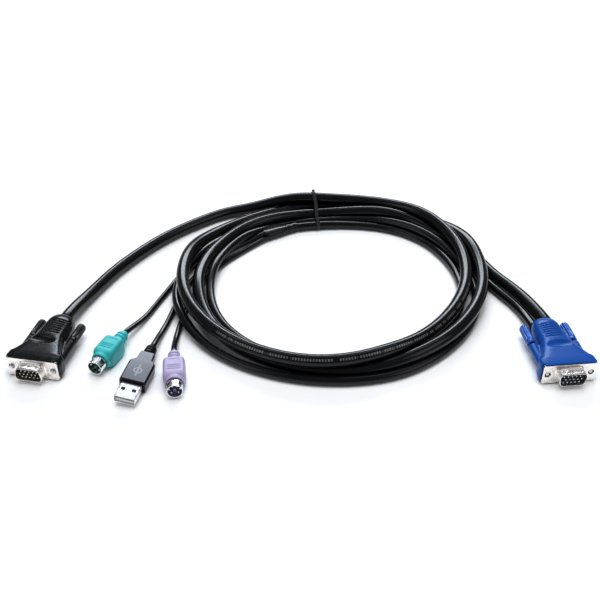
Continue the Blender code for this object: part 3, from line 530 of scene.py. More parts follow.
under = {k: floor_stations(p) for k, p in THIN_FLOOR.items()}
settled, overlap = settle([
    (v_k, v_r, v_z, VIDEO_D / 2, False),
    (d_k, d_r, d_z, DATA_D / 2, False),
    (s_k, np.full(len(s_k), SPLIT[2]), np.full(len(s_k), SPLIT[3]), 3.5, True),
] + [(ks[1:], r[1:], z[1:], THIN_D / 2 + (0.9 if k == "purple" else 0.0), True)
     for k, (ks, r, z) in under.items()], 500)      # the purple cord leaves slantwise and needs room
print("deepest overlap of strands, mm", round(overlap, 3))


def coil_route(ks, pos):
    return [coil_point(k * STEP, r, z) for k, (r, z) in zip(ks, pos)]


video_route = (
    [plug_point(POSE_BLACK, 0, 43.6, 7.2), plug_point(POSE_BLACK, 0, 49.5, 7.2),
     plug_point(POSE_BLACK, 0.3, 62, 6.0), (-135.5, -4.6, 4.6), (-121.4, 29.4, zv),
     (-100.5, 62.2, zv), (-86.5, 78.4, zv), (-73.0, 90.6, zv), (-55.4, 103.6, 4.3)]
    + coil_route(v_k, settled[0])
    + [(136.6, 5.4, 4.9), (143.0, -11.6, 6.2), plug_point(POSE_BLUE, 2.5, 49.0, 7.2),
       plug_point(POSE_BLUE, 2.5, 43.6, 7.2)])
data_route = (
    [plug_point(POSE_BLUE, -4.9, 43.6, 4.6), plug_point(POSE_BLUE, -4.9, 48.5, 4.6),
     (137.6, -15.2, zd), (132.6, -4.2, zd)]
    + coil_route(d_k, settled[1]))
thin_routes = {
    "green": THIN_FLOOR["green"][::-1] + [(-95.6, -21.5, 2.4), plug_point(POSE_GREEN, 0, 36.5, 0),
                                          plug_point(POSE_GREEN, 0, 32.6, 0)],
    "usb": THIN_FLOOR["usb"][::-1] + [(-83.8, -37.5, 2.4), plug_point(POSE_USB, 0, 37.5, 0),
                                      plug_point(POSE_USB, 0, 33.6, 0)],
    "purple": THIN_FLOOR["purple"][::-1] + [(-74.2, -47.0, 2.6), plug_point(POSE_PURPLE, 0, 36.5, 0),
                                            plug_point(POSE_PURPLE, 0, 32.6, 0)],
}


# --------------------------------------------------------------------------
# Cords: tubes
# --------------------------------------------------------------------------
def tube(name, path, dia, sides=20, flat=True, wobble=0.0):
    """A closed tube along a path in millimetres, with lengthwise UVs."""
    n = len(path)
    tang = np.gradient(path, axis=0)
    tang /= np.linalg.norm(tang, axis=1)[:, None]
    if flat:
        side = np.cross(tang, np.array([0, 0, 1.0]))
        side /= np.linalg.norm(side, axis=1)[:, None]
        up = np.cross(side, tang)
    else:
        up = np.zeros_like(tang)
        up[0] = np.cross(tang[0], [1.0, 0.3, 0.1])
        up[0] /= np.linalg.norm(up[0])
        for i in range(1, n):
            v = up[i - 1] - tang[i] * (up[i - 1] @ tang[i])
            up[i] = v / np.linalg.norm(v)
        side = np.cross(tang, up)
    s = np.concatenate([[0], np.cumsum(np.linalg.norm(np.diff(path, axis=0), axis=1))])
    bm = bmesh.new()
    uvl = bm.loops.layers.uv.new("UVMap")
    rings = []
    for i in range(n):
        rad = dia / 2
        ring = []
        for k in range(sides):
            a = 2 * math.pi * k / sides
            p = path[i] + (up[i] * math.cos(a) + side[i] * math.sin(a)) * rad
            ring.append(bm.verts.new(in_frame(p)))
        rings.append(ring)
    for i in range(n - 1):
        for k in range(sides):
            j = (k + 1) % sides
            f = bm.faces.new((rings[i][k], rings[i][j], rings[i + 1][j], rings[i + 1][k]))
            f.smooth = True
            for loop, (uu, vv) in zip(f.loops, ((s[i], k), (s[i], k + 1), (s[i + 1], k + 1), (s[i + 1], k))):
                loop[uvl].uv = (uu, vv / sides)
    bm.faces.new(rings[0][::-1])
    bm.faces.new(rings[-1])
    bmesh.ops.recalc_face_normals(bm, faces=bm.faces)
    me = bpy.data.meshes.new(name)
    bm.to_mesh(me)
    bm.free()
    ob = bpy.data.objects.new(name, me)
    COLL.objects.link(ob)
    return ob


video_path = even(calm(even(catmull(video_route, 12), 4.0), 6), 4.0)
data_path = even(calm(even(catmull(data_route, 12), 3.4), 6), 3.4)
thin_paths = {k: even(calm(even(catmull(r, 12), 2.4), 4), 2.4) for k, r in thin_routes.items()}

# the print runs along the outer flank of the uppermost turn
walk = np.concatenate([[0], np.cumsum(np.linalg.norm(np.diff(video_path, axis=0), axis=1))])


def along_at(deg, z_min):
    """How far along the video cord its uppermost turn passes an angle."""
    q = coil_point(deg, 90.0, 10.0)
    best = None
    for i, p in enumerate(video_path):
        d = math.hypot(p[0] - q[0], p[1] - q[1])
        if p[2] > z_min and d < 25 and (best is None or d < best[0]):
            best = (d, walk[i])
        if best and walk[i] - best[1] > 60:
            break
    return best[1] if best else walk[-1]


print_from, print_to = along_at(-8, 7.0), along_at(-138, 7.0)
MAT["print"] = cord_material("cord_jacket_printed", (print_from, print_to, 0.875))

video = finish_piece(tube("video_cord", video_path, VIDEO_D, 24), "print")
data = finish_piece(tube("data_cord", data_path, DATA_D, 20), "cord")
thin = {k: finish_piece(tube("thin_cord_to_" + k, p, THIN_D, 16), "cord") for k, p in thin_paths.items()}


# --------------------------------------------------------------------------
# Shape helpers (plug frame: x to the right, y backward, z up; millimetres)
# --------------------------------------------------------------------------
def mesh_object(name, bm, matrix=None):
    bmesh.ops.recalc_face_normals(bm, faces=bm.faces)
    if matrix is not None:
        bm.transform(matrix)
    me = bpy.data.meshes.new(name)
    bm.to_mesh(me)
    bm.free()
    ob = bpy.data.objects.new(name, me)
    COLL.objects.link(ob)
    return ob


def loft(name, rings, matrix=None):
    bm = bmesh.new()
    loops = [[bm.verts.new(Vector(p) * MM) for p in ring] for ring in rings]
    n = len(loops[0])
    for a, b in zip(loops[:-1], loops[1:]):
        for i in range(n):
            j = (i + 1) % n
            bm.faces.new((a[i], a[j], b[j], b[i]))
    bm.faces.new(loops[0][::-1])
    bm.faces.new(loops[-1])
    return mesh_object(name, bm, matrix)


def box(name, lo, hi, matrix=None):
    bm = bmesh.new()
    bmesh.ops.create_cube(bm, size=1.0)
    bmesh.ops.scale(bm, vec=[(b - a) * MM for a, b in zip(lo, hi)], verts=bm.verts)
    bmesh.ops.translate(bm, vec=[(a + b) / 2 * MM for a, b in zip(lo, hi)], verts=bm.verts)
    return mesh_object(name, bm, matrix)


def rod(name, u, z, y0, y1, r, segments=40, matrix=None, r2=None):
    bm = bmesh.new()
    bmesh.ops.create_cone(bm, cap_ends=True, segments=segments, radius1=r * MM,
                          radius2=(r2 if r2 is not None else r) * MM, depth=(y1 - y0) * MM,
                          matrix=Matrix.Rotation(-math.pi / 2, 4, "X"))
    bmesh.ops.translate(bm, vec=(u * MM, (y0 + y1) / 2 * MM, z * MM), verts=bm.verts)
    return mesh_object(name, bm, matrix)


def ellipsoid(name, centre, radii, matrix=None):
    bm = bmesh.new()
    bmesh.ops.create_uvsphere(bm, u_segments=48, v_segments=24, radius=1.0)
    bmesh.ops.scale(bm, vec=[r * MM for r in radii], verts=bm.verts)
    bmesh.ops.translate(bm, vec=[c * MM for c in centre], verts=bm.verts)
    return mesh_object(name, bm, matrix)


def superellipse(a, h, cz, n, count, taper=0.0, y=0.0, top=None):
    pts = []
    for i in range(count):
        t = 2 * math.pi * (i + 0.5) / count
        c, s = math.cos(t), math.sin(t)
        x = a * math.copysign(abs(c) ** (2 / n), c)
        z = math.copysign(abs(s) ** (2 / n), s)
        x *= 1 - taper * abs(z)
        zz = cz + h * z
        if top is not None and z > 0:
            zz -= top(x, z)
        pts.append((x, y, zz))
    return pts


def blend_table(table, v):
    if v <= table[0][0]:
        return table[0][1:]
    for a, b in zip(table[:-1], table[1:]):
        if v <= b[0]:
            t = (v - a[0]) / (b[0] - a[0])
            t = t * t * (3 - 2 * t) * 0.35 + t * 0.65
            return tuple(p + (q - p) * t for p, q in zip(a[1:], b[1:]))
    return table[-1][1:]


def rounded_polygon(corners, radius, steps=6):
    out = []
    n = len(corners)
    for i in range(n):
        p = Vector(corners[i])
        a = (Vector(corners[i - 1]) - p).normalized()
        b = (Vector(corners[(i + 1) % n]) - p).normalized()
        half = a.angle(b) / 2
        d = radius / math.tan(half)
        centre = p + (a + b).normalized() * (radius / math.sin(half))
        s, e = p + a * d - centre, p + b * d - centre
        a0 = math.atan2(s.y, s.x)
        da = (math.atan2(e.y, e.x) - a0 + math.pi) % (2 * math.pi) - math.pi
        for k in range(steps + 1):
            t = a0 + da * k / steps
            out.append((centre.x + radius * math.cos(t), centre.y + radius * math.sin(t)))
    return out


def d_loop(offset, flip, steps=6):
    s = -1 if flip else 1
    h = SHROUD_H / 2
    lean = SHROUD_H * math.tan(SHROUD_SLOPE) / 2
    w = SHROUD_W / 2 - lean
    grow = offset / math.cos(SHROUD_SLOPE)
    dz = h + offset
    k = math.tan(SHROUD_SLOPE)
    wide, narrow = w + k * dz + grow, w - k * dz + grow
    pts = [(-narrow, AXIS_Z - s * dz), (narrow, AXIS_Z - s * dz),
           (wide, AXIS_Z + s * dz), (-wide, AXIS_Z + s * dz)]
    if flip:
        pts.reverse()
    return rounded_polygon(pts, max(SHROUD_R + offset, 0.4), steps)


def prism(name, loop, y0, y1, matrix=None):
    """A filled outline in the xz plane, thickened along y."""
    return loft(name, [[(x, y0, z) for x, z in loop], [(x, y1, z) for x, z in loop]], matrix)


def apply_modifiers(ob):
    bpy.context.view_layer.update()
    dg = bpy.context.evaluated_depsgraph_get()
    me = bpy.data.meshes.new_from_object(ob.evaluated_get(dg))
    ob.modifiers.clear()
    old = ob.data
    ob.data = me
    bpy.data.meshes.remove(old)
    return ob


def carve(ob, tools, operation="DIFFERENCE"):
    for t in tools:
        m = ob.modifiers.new("cut", "BOOLEAN")
        m.object = t
        m.operation = operation
        m.solver = "EXACT"
    apply_modifiers(ob)
    for t in tools:
        bpy.data.objects.remove(t, do_unlink=True)
    return ob


def soften(ob, voxel, rounds=4, factor=0.5):
    """Remesh a moulding and round its inner and outer corners a little."""
    m = ob.modifiers.new("remesh", "REMESH")
    m.mode = "VOXEL"
    m.voxel_size = voxel * MM
    m.use_smooth_shade = True
    s = ob.modifiers.new("smooth", "SMOOTH")
    s.factor = factor
    s.iterations = rounds
    apply_modifiers(ob)
    ob.data.shade_smooth()
    return ob


def sharpen(ob, angle=38.0):
    ob.data.shade_smooth()
    ob.data.set_sharp_from_angle(angle=math.radians(angle))
    return ob


def place(ob, matrix):
    ob.data.transform(matrix)
    return ob


# --------------------------------------------------------------------------
# Video plugs
# --------------------------------------------------------------------------
HOOD = [
    (0.3, 16.0, 6.85, 7.05, 10.0, 0.02),
    (3.2, 17.2, 7.05, 7.12, 9.0, 0.075),
    (6.8, 17.2, 7.10, 7.15, 8.0, 0.095),
    (8.6, 15.6, 7.10, 7.15, 7.0, 0.095),
    (11.0, 14.0, 7.10, 7.15, 6.5, 0.08),
    (13.5, 12.6, 7.10, 7.15, 6.0, 0.06),
    (16.5, 11.3, 7.10, 7.15, 5.0, 0.04),
    (20.0, 10.2, 7.15, 7.18, 4.0, 0.03),
    (24.0, 9.2, 7.25, 7.28, 3.0, 0.0),
    (30.0, 8.8, 7.25, 7.28, 2.6, 0.0),
    (37.0, 8.4, 7.15, 7.20, 2.4, 0.0),
    (40.5, 8.1, 6.85, 7.20, 2.4, 0.0),
    (43.0, 7.6, 6.20, 7.20, 2.3, 0.0),
    (44.6, 7.0, 5.50, 7.20, 2.2, 0.0),
    (HOOD_END, 6.4, 5.00, 7.20, 2.2, 0.0),
]
RIBS = [25.0 + 2.05 * i for i in range(7)]
RIB_W, RIB_DEPTH, RIB_HALF = 0.95, 0.75, 6.4


def hood_section(v, count):
    a, h, cz, n, taper = blend_table(HOOD, v)
    depth = 0.0
    for r in RIBS:
        if r < v < r + RIB_W:
            depth = max(depth, RIB_DEPTH * math.sin(math.pi * (v - r) / RIB_W) ** 0.6)

    def groove(x, z):
        w = max(0.0, 1 - (abs(x) / RIB_HALF) ** 6)
        return depth * w * min(1.0, z * 1.5)
    return superellipse(a, h, cz, n, count, taper, v, groove if depth else None)


def video_hood(name, pose, flip, mat, node):
    vs = sorted(set([row[0] for row in HOOD] + [0.3 + 0.9 * i for i in range(50) if 0.3 + 0.9 * i < 24]
                    + [r + RIB_W * k / 6 for r in RIBS for k in range(7)] + [39.6, 41.2, 42.1, 43.8]))
    hood = loft(name, [hood_section(v, 96) for v in vs])
    adds = [rod("sleeve", s * SCREW_U, AXIS_Z, 3.0, SLEEVE_END, SLEEVE_R + 0.05, 48) for s in (-1, 1)]
    # a low web runs from each sleeve down to the grip
    for s in (-1, 1):
        adds.append(loft("web", [[(s * x, v, z) for x, z in ((7.0, 4.4), (w, 4.9), (w, 9.0), (7.0, 9.5))]
                                 for v, w in ((4.0, 12.6), (18.0, 11.8), (SLEEVE_END - 1.4, 11.2))]))
    carve(hood, adds, "UNION")
    cuts = [box("flange_pocket", (-FLANGE_W / 2 - GAP, -1, FLANGE_Z - GAP),
                (FLANGE_W / 2 + GAP, 2.0, FLANGE_Z + FLANGE_H + GAP)),
            prism("cup_pocket", d_loop(GAP + 0.05, flip), 1.5, 11.5)]
    for s in (-1, 1):
        cuts.append(rod("screw_hole", s * SCREW_U, AXIS_Z, -1, SLEEVE_END + 1, 1.75, 32))
    # crescent thumb recess across the top
    cuts.append(ellipsoid("recess", (-0.8, 18.2, 15.0), (8.9, 3.5, 2.15)))
    carve(hood, cuts)
    soften(hood, 0.34, 3, 0.5)
    place(hood, pose_matrix(pose))
    finish_piece(hood, mat)
    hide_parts(node)
    return hood


def front_shell(name, pose, flip, node):
    """Plated plate with the drawn D shroud, its rolled lip and dimples."""
    m = pose_matrix(pose)
    plate = prism(name, rounded_polygon(
        [(-FLANGE_W / 2, FLANGE_Z), (FLANGE_W / 2, FLANGE_Z),
         (FLANGE_W / 2, FLANGE_Z + FLANGE_H), (-FLANGE_W / 2, FLANGE_Z + FLANGE_H)], 1.4, 6), 0.0, FLANGE_T)
    # raised field round the shroud, as pressed sheet has
    rings = []
    for off, y in ((0.9, 0.4), (0.85, -0.05), (0.45, -0.28), (0.12, -0.6), (0.0, -1.1), (0.0, -5.2),
                   (-0.10, -5.75), (-0.26, -5.97), (-0.40, -5.93), (-SHROUD_T, -5.6), (-SHROUD_T, 1.2)):
        rings.append([(x, y, z) for x, z in d_loop(off, flip, 8)])
    bm = bmesh.new()
    loops = [[bm.verts.new(Vector(q) * MM) for q in ring] for ring in rings]
    count = len(loops[0])
    for a, b in zip(loops, loops[1:] + loops[:1]):
        for i in range(count):
            j = (i + 1) % count
            bm.faces.new((a[i], a[j], b[j], b[i]))
    shroud = mesh_object("shroud", bm)
    carve(plate, [prism("hole", d_loop(-SHROUD_T + 0.02, flip, 8), -0.5, 2.0)])
    for s in (-1, 1):
        carve(plate, [rod("screw_hole", s * SCREW_U, AXIS_Z, -1, 2, 1.72, 32)])
    bev = plate.modifiers.new("edge", "BEVEL")
    bev.width = 0.14 * MM
    bev.segments = 2
    bev.limit_method = "ANGLE"
    apply_modifiers(plate)
    # dimples pressed in its upper wall
    s_top = -1 if flip else 1
    top_z = AXIS_Z + SHROUD_H / 2
    cuts = []
    for u in (-4.6, 0.0, 4.6):
        cuts.append(ellipsoid("dimple", (u, -3.0, top_z + 0.42), (1.25, 1.0, 0.62)))
    carve(shroud, cuts)
    join_into(plate, [shroud])
    sharpen(plate, 40)
    place(plate, m)
    finish_piece(plate, "nickel")
    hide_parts(node)
    return plate


def join_into(ob, others):
    bm = bmesh.new()
    bm.from_mesh(ob.data)
    for o in others:
        bm.from_mesh(o.data)
        bpy.data.objects.remove(o, do_unlink=True)
    bm.to_mesh(ob.data)
    bm.free()
    return ob


def knob(name, axis, front, mat, body, node):
    """Fluted knob with a plain collar, a domed end and a bore for the screw."""
    count, flutes = 96, 8

    def ring(y, r, flute):
        pts = []
        for i in range(count):
            t = 2 * math.pi * i / count
            f = (0.5 + 0.5 * math.cos(flutes * t)) ** 1.6
            rr = r - flute * f
            pts.append((rr * math.cos(t), y, rr * math.sin(t)))
        return pts
    y = front
    prof = [(0.0, 2.05, 0), (0.12, 2.32, 0), (0.45, 2.55, 0), (0.9, 2.6, 0), (2.0, 2.6, 0), (2.25, 2.5, 0),
            (2.5, 2.5, 0), (2.8, KNOB_R - 0.03, 0.05), (3.1, KNOB_R, 0.2), (3.6, KNOB_R, 0.42),
            (9.0, KNOB_R, 0.42), (14.0, KNOB_R, 0.42), (14.9, KNOB_R - 0.04, 0.38), (15.5, 2.5, 0.24),
            (15.9, 2.15, 0.1), (KNOB_L - 0.05, 1.7, 0.0), (KNOB_L, 1.1, 0.0)]
    ob = loft(name, [ring(y + dy, r, f) for dy, r, f in prof])
    carve(ob, [rod("bore", 0, 0, y - 1, y + 9.4, 1.45, 32)])
    sharpen(ob, 40)
    place(ob, axis)
    finish_piece(ob, mat, body)
    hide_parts(node)
    return ob


def thumbscrew(name, axis, front, body, node):
    """Screw with a cut thread on its nose and a plain shank."""
    nose = front - 27.2
    n = 28
    rings = []

    def ring(y, r, lead=0.0):
        rings.append([(r_ * math.cos(2 * math.pi * i / n), y_, r_ * math.sin(2 * math.pi * i / n))
                      for i, (r_, y_) in enumerate(lead if lead else [(r, y)] * n)])
    ring(nose, 0.55)
    ring(nose + 0.02, 0.95)
    ring(nose + 0.35, 1.18)
    pitch, r0 = 0.64, 1.42
    steps = 8
    for k in range(int(6.2 / pitch * steps)):
        y = nose + 0.5 + k * pitch / steps
        row = []
        for i in range(n):
            ph = (k / steps + i / n) % 1.0
            row.append((r0 - 0.30 * (1 - abs(2 * ph - 1)) ** 0.9, y))
        ring(y, r0, row)
    ring(nose + 7.0, 1.2)
    ring(nose + 7.3, 1.15)
    ring(front + 9.0, 1.15)
    ob = loft(name, rings)
    sharpen(ob, 50)
    place(ob, axis)
    finish_piece(ob, "steel", body)
    ob.data.materials[0] = MAT["screw"]
    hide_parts(node)
    return ob


hoods, shells, knobs, screws = {}, {}, {}, {}
for colour, pose, flip, out, mat, kmat in (("black", POSE_BLACK, True, 1.4, "black", "black"),
                                           ("blue", POSE_BLUE, False, 0.0, "blue", "blueknob")):
    hoods[colour] = video_hood(colour + "_hood", pose, flip, mat, colour + "_video_hood")
    shells[colour] = front_shell(colour + "_plate", pose, flip, colour + "_video_front_shell")
    for side, s in (("left", -1), ("right", 1)):
        axis = pose_matrix(pose) @ Matrix.Translation((s * SCREW_U * MM, 0, AXIS_Z * MM))
        body = f"{colour}_thumbscrew_{side}"
        key = f"{colour}_{side}"
        knobs[key] = knob(f"{colour}_knob_{side}", axis, KNOB_FRONT - out, kmat, body,
                          f"{colour}_video_knob_{side}")
        screws[key] = thumbscrew(f"{colour}_screw_{side}", axis, KNOB_FRONT - out, body,
                                 f"{colour}_video_screw_{side}")


# --------------------------------------------------------------------------
# Round 6-pin plugs
# --------------------------------------------------------------------------
def ps2_body(name, pose, mat, node):
    b0, b1 = DIN_BLOCK
    n = 72
    rings = []

    def sec(v, a, h, sq, taper=0.0):
        rings.append(superellipse(a, h, 0.0, sq, n, taper, v))
    sec(5.8, 4.95, 4.95, 2.0)
    sec(5.85, 5.2, 5.2, 2.0)
    sec(6.1, 5.5, 5.45, 2.0)
    sec(6.5, 5.6, 5.55, 2.0)
    sec(7.7, 5.65, 5.58, 2.0)
    sec(8.0, 5.5, 5.4, 2.1)
    sec(8.4, 5.7, 5.45, 2.6)
    sec(9.0, 6.1, 5.65, 3.6, 0.03)
    sec(9.8, 6.4, 5.85, 5.0, 0.06)
    sec(10.6, DIN_W / 2, DIN_H / 2, 6.5, 0.10)
    for v in np.linspace(11.4, 21.8, 14):
        sec(float(v), DIN_W / 2, DIN_H / 2, 6.5, 0.10)
    sec(b1 - 0.9, 6.4, 5.9, 6.2, 0.10)
    sec(b1 - 0.3, 6.05, 5.7, 5.5, 0.10)
    sec(b1, 5.4, 5.3, 5.0, 0.10)
    y, r = b1 + 0.05, 4.15
    for k in range(3):
        sec(y, r - 0.8, r - 0.8, 2.2)
        sec(y + 0.8, r - 0.8, r - 0.8, 2.2)
        sec(y + 0.95, r - 0.15, r - 0.15, 2.2)
        sec(y + 1.2, r, r, 2.2)
        sec(y + 2.3, r - 0.1, r - 0.1, 2.2)
        sec(y + 2.6, r - 0.3, r - 0.3, 2.2)
        y += 2.75
        r -= 0.3
    sec(y, r - 0.55, r - 0.55, 2.0)
    sec(DIN_END - 0.3, 2.5, 2.5, 2.0)
    sec(DIN_END, 2.2, 2.2, 2.0)
    ob = loft(name, rings)
    cuts = [rod("bore", 0, 0, 4, 15.0, DIN_R + 0.22, 48)]
    # three grip lines across the top, and a faint pressed field behind them
    for v in (12.4, 14.0, 15.6):
        cuts.append(box("line", (-3.9, v, DIN_H / 2 - 0.45), (3.9, v + 0.7, DIN_H / 2 + 1)))
    cuts.append(prism("field", [(x, z) for x, z in rounded_polygon(
        [(-3.4, DIN_H / 2 - 0.25), (3.4, DIN_H / 2 - 0.25), (3.4, DIN_H / 2 + 1), (-3.4, DIN_H / 2 + 1)],
        0.1, 2)], 17.6, 21.6))
    carve(ob, cuts)
    soften(ob, 0.24, 2, 0.5)
    place(ob, pose_matrix(pose))
    finish_piece(ob, mat)
    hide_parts(node)
    return ob


ps2 = {"green": ps2_body("green_body", POSE_GREEN, "green", "green_ps2_body"),
       "purple": ps2_body("purple_body", POSE_PURPLE, "purple", "purple_ps2_body")}


# --------------------------------------------------------------------------
# USB plug
# --------------------------------------------------------------------------
def usb_moulding():
    n = 96
    rings = []

    def sec(v, a, hh, sq, taper=0.0, cz=0.0):
        rings.append(superellipse(a, hh, cz, sq, n, taper, v))
    sec(0.0, 6.9, 3.1, 8.0)
    sec(0.15, 7.2, 3.4, 8.0)
    sec(0.6, USB_W / 2 - 0.05, USB_H / 2 - 0.04, 9.0)
    for v in np.linspace(1.2, 16.8, 16):
        sec(float(v), USB_W / 2, USB_H / 2, 9.0)
    sec(17.6, USB_W / 2 - 0.3, USB_H / 2, 8.5)
    sec(18.3, 6.9, 3.65, 7.5)
    sec(USB_BLOCK_L + 0.2, 5.9, 3.58, 6.8)
    sec(USB_BLOCK_L + 0.9, 4.95, 3.5, 6.0)
    sec(22.0, 4.75, 3.5, 5.5)
    sec(USB_NECK_L - 0.6, 4.6, 3.45, 5.0)
    sec(USB_NECK_L, 4.35, 3.4, 3.5)
    y, r = USB_NECK_L + 0.05, 3.75
    for k in range(3):
        sec(y, r - 0.65, r - 0.65, 2.0)
        sec(y + 0.65, r - 0.65, r - 0.65, 2.0)
        sec(y + 0.8, r - 0.1, r - 0.1, 2.0)
        sec(y + 1.05, r, r, 2.0)
        sec(y + 1.9, r - 0.05, r - 0.05, 2.0)
        sec(y + 2.1, r - 0.2, r - 0.2, 2.0)
        y += 2.25
        r -= 0.2
    sec(y, r - 0.4, r - 0.4, 2.0)
    sec(USB_END - 0.2, 2.45, 2.45, 2.0)
    sec(USB_END, 2.2, 2.2, 2.0)
    w, h, _ = USB_SHELL
    ob = loft("usb_moulding", rings)
    carve(ob, [box("pocket", (-w / 2 - 0.2, -1, -h / 2 - 0.2), (w / 2 + 0.2, 8.3, h / 2 + 0.2))])
    soften(ob, 0.22, 2, 0.5)
    place(ob, pose_matrix(POSE_USB))
    finish_piece(ob, "black")
    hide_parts("usb_body")
    return ob


def usb_painted_sheen_plate():
    """A lighter plate over the grip's top, from the block to the neck: painted sheen standing in for the
    overhead light's reflection on the black moulding.
    """
    side = [(1.3, 6.6), (16.6, 6.6), (17.7, 6.3), (18.8, 5.2), (19.6, 4.35), (26.2, 3.75)]
    pts = [(x, v) for v, x in side] + [(-x, v) for v, x in reversed(side)]
    loop = rounded_polygon(pts, 0.35, 4)
    bm = bmesh.new()
    top, low = USB_H / 2 + 0.14, USB_H / 2 - 0.8

    def height(v, z):
        # the neck is a little lower than the block
        t = min(1.0, max(0.0, (v - 17.6) / 1.6))
        return z - 0.22 * t
    lo = [bm.verts.new((x * MM, v * MM, height(v, low) * MM)) for x, v in loop]
    hi = [bm.verts.new((x * MM, v * MM, height(v, top) * MM)) for x, v in loop]
    n = len(loop)
    for i in range(n):
        j = (i + 1) % n
        bm.faces.new((lo[i], lo[j], hi[j], hi[i]))
    bm.faces.new(lo[::-1])
    bm.faces.new(hi)
    ob = mesh_object("usb_top_painted_sheen", bm)
    b = ob.modifiers.new("edge", "BEVEL")
    b.width = 0.16 * MM
    b.segments = 3
    b.limit_method = "ANGLE"
    b.angle_limit = math.radians(50)
    apply_modifiers(ob)
    sharpen(ob, 30)
    place(ob, pose_matrix(POSE_USB))
    return finish_piece(ob, "sheen_plastic")


def usb_mark():
    """A plain pressed mark on the grip: a ring with a bar across it."""
    z = USB_H / 2 + 0.1
    rings = []
    n = 40
    pts = []
    for (u, v, r) in ((0.0, 9.4, 2.6),):
        bm = bmesh.new()
        prof = [(r, 0.0), (r, 0.10), (r - 0.75, 0.10), (r - 0.75, 0.0)]
        loops = []
        for i in range(n):
            a = 2 * math.pi * i / n
            loops.append([bm.verts.new(((u + q * math.cos(a)) * MM, (v + q * 0.9 * math.sin(a)) * MM,
                                        (z + h) * MM)) for q, h in prof])
        for i in range(n):
            a, b = loops[i], loops[(i + 1) % n]
            for k in range(4):
                j = (k + 1) % 4
                bm.faces.new((a[k], a[j], b[j], b[k]))
        ring = mesh_object("usb_mark", bm)
    bar = box("bar", (-0.42, 4.8, z), (0.42, 14.4, z + 0.1))
    join_into(ring, [bar])
    sharpen(ring, 30)
    place(ring, pose_matrix(POSE_USB))
    return finish_piece(ring, "ink")


usb_body = usb_moulding()
# plate of painted sheen on the grip's top
usb_sheen_plate = usb_painted_sheen_plate()
usb_sign = usb_mark()


# --------------------------------------------------------------------------
# Split sleeve where the data cord divides into the three thin cords
# --------------------------------------------------------------------------
def split_sleeve():
    a0, a1, r, z = SPLIT
    p0 = np.array(coil_point(a0 - 1.0, r + 0.3, z))
    p1 = np.array(coil_point(a1 + 1.0, r + 0.3, z))
    d = (p1 - p0) / np.linalg.norm(p1 - p0)
    side = np.array([-d[1], d[0], 0])
    length = float(np.linalg.norm(p1 - p0))
    rings = []
    n = 40
    for t, w, h in ((0.0, 3.0, 3.0), (0.02, 3.25, 3.2), (0.1, 3.3, 3.25), (0.12, 3.1, 3.05), (0.17, 3.1, 3.05),
                    (0.19, 3.35, 3.3), (0.27, 3.4, 3.3), (0.29, 3.2, 3.1), (0.34, 3.2, 3.1), (0.36, 3.5, 3.35),
                    (0.55, 4.1, 3.4), (0.9, 4.7, 3.35), (0.98, 4.7, 3.3), (1.0, 4.4, 3.0)):
        ring = []
        for i in range(n):
            a = 2 * math.pi * i / n
            c, s = math.cos(a), math.sin(a)
            q = p0 + d * (length * t) + side * (w * math.copysign(abs(c) ** 0.85, c))
            q = q + np.array([0, 0, h * math.copysign(abs(s) ** 0.85, s)])
            ring.append((q[0] + SHIFT[0], q[1] + SHIFT[1], q[2]))
        rings.append(ring)
    ob = loft("split_sleeve", rings)
    sharpen(ob, 40)
    return finish_piece(ob, "black")


split = split_sleeve()


# --------------------------------------------------------------------------
# Twist tie
# --------------------------------------------------------------------------
def hull_of(points):
    """The convex outline of points in the (r, z) plane, anticlockwise."""
    pts = sorted(set((round(a, 3), round(b, 3)) for a, b in points))

    def half(seq):
        out = []
        for q in seq:
            while len(out) >= 2 and ((out[-1][0] - out[-2][0]) * (q[1] - out[-2][1])
                                     - (out[-1][1] - out[-2][1]) * (q[0] - out[-2][0])) <= 0:
                out.pop()
            out.append(q)
        return out
    lower, upper = half(pts), half(pts[::-1])
    ring = np.array(lower[:-1] + upper[:-1])
    return np.concatenate([ring, ring[:1]])


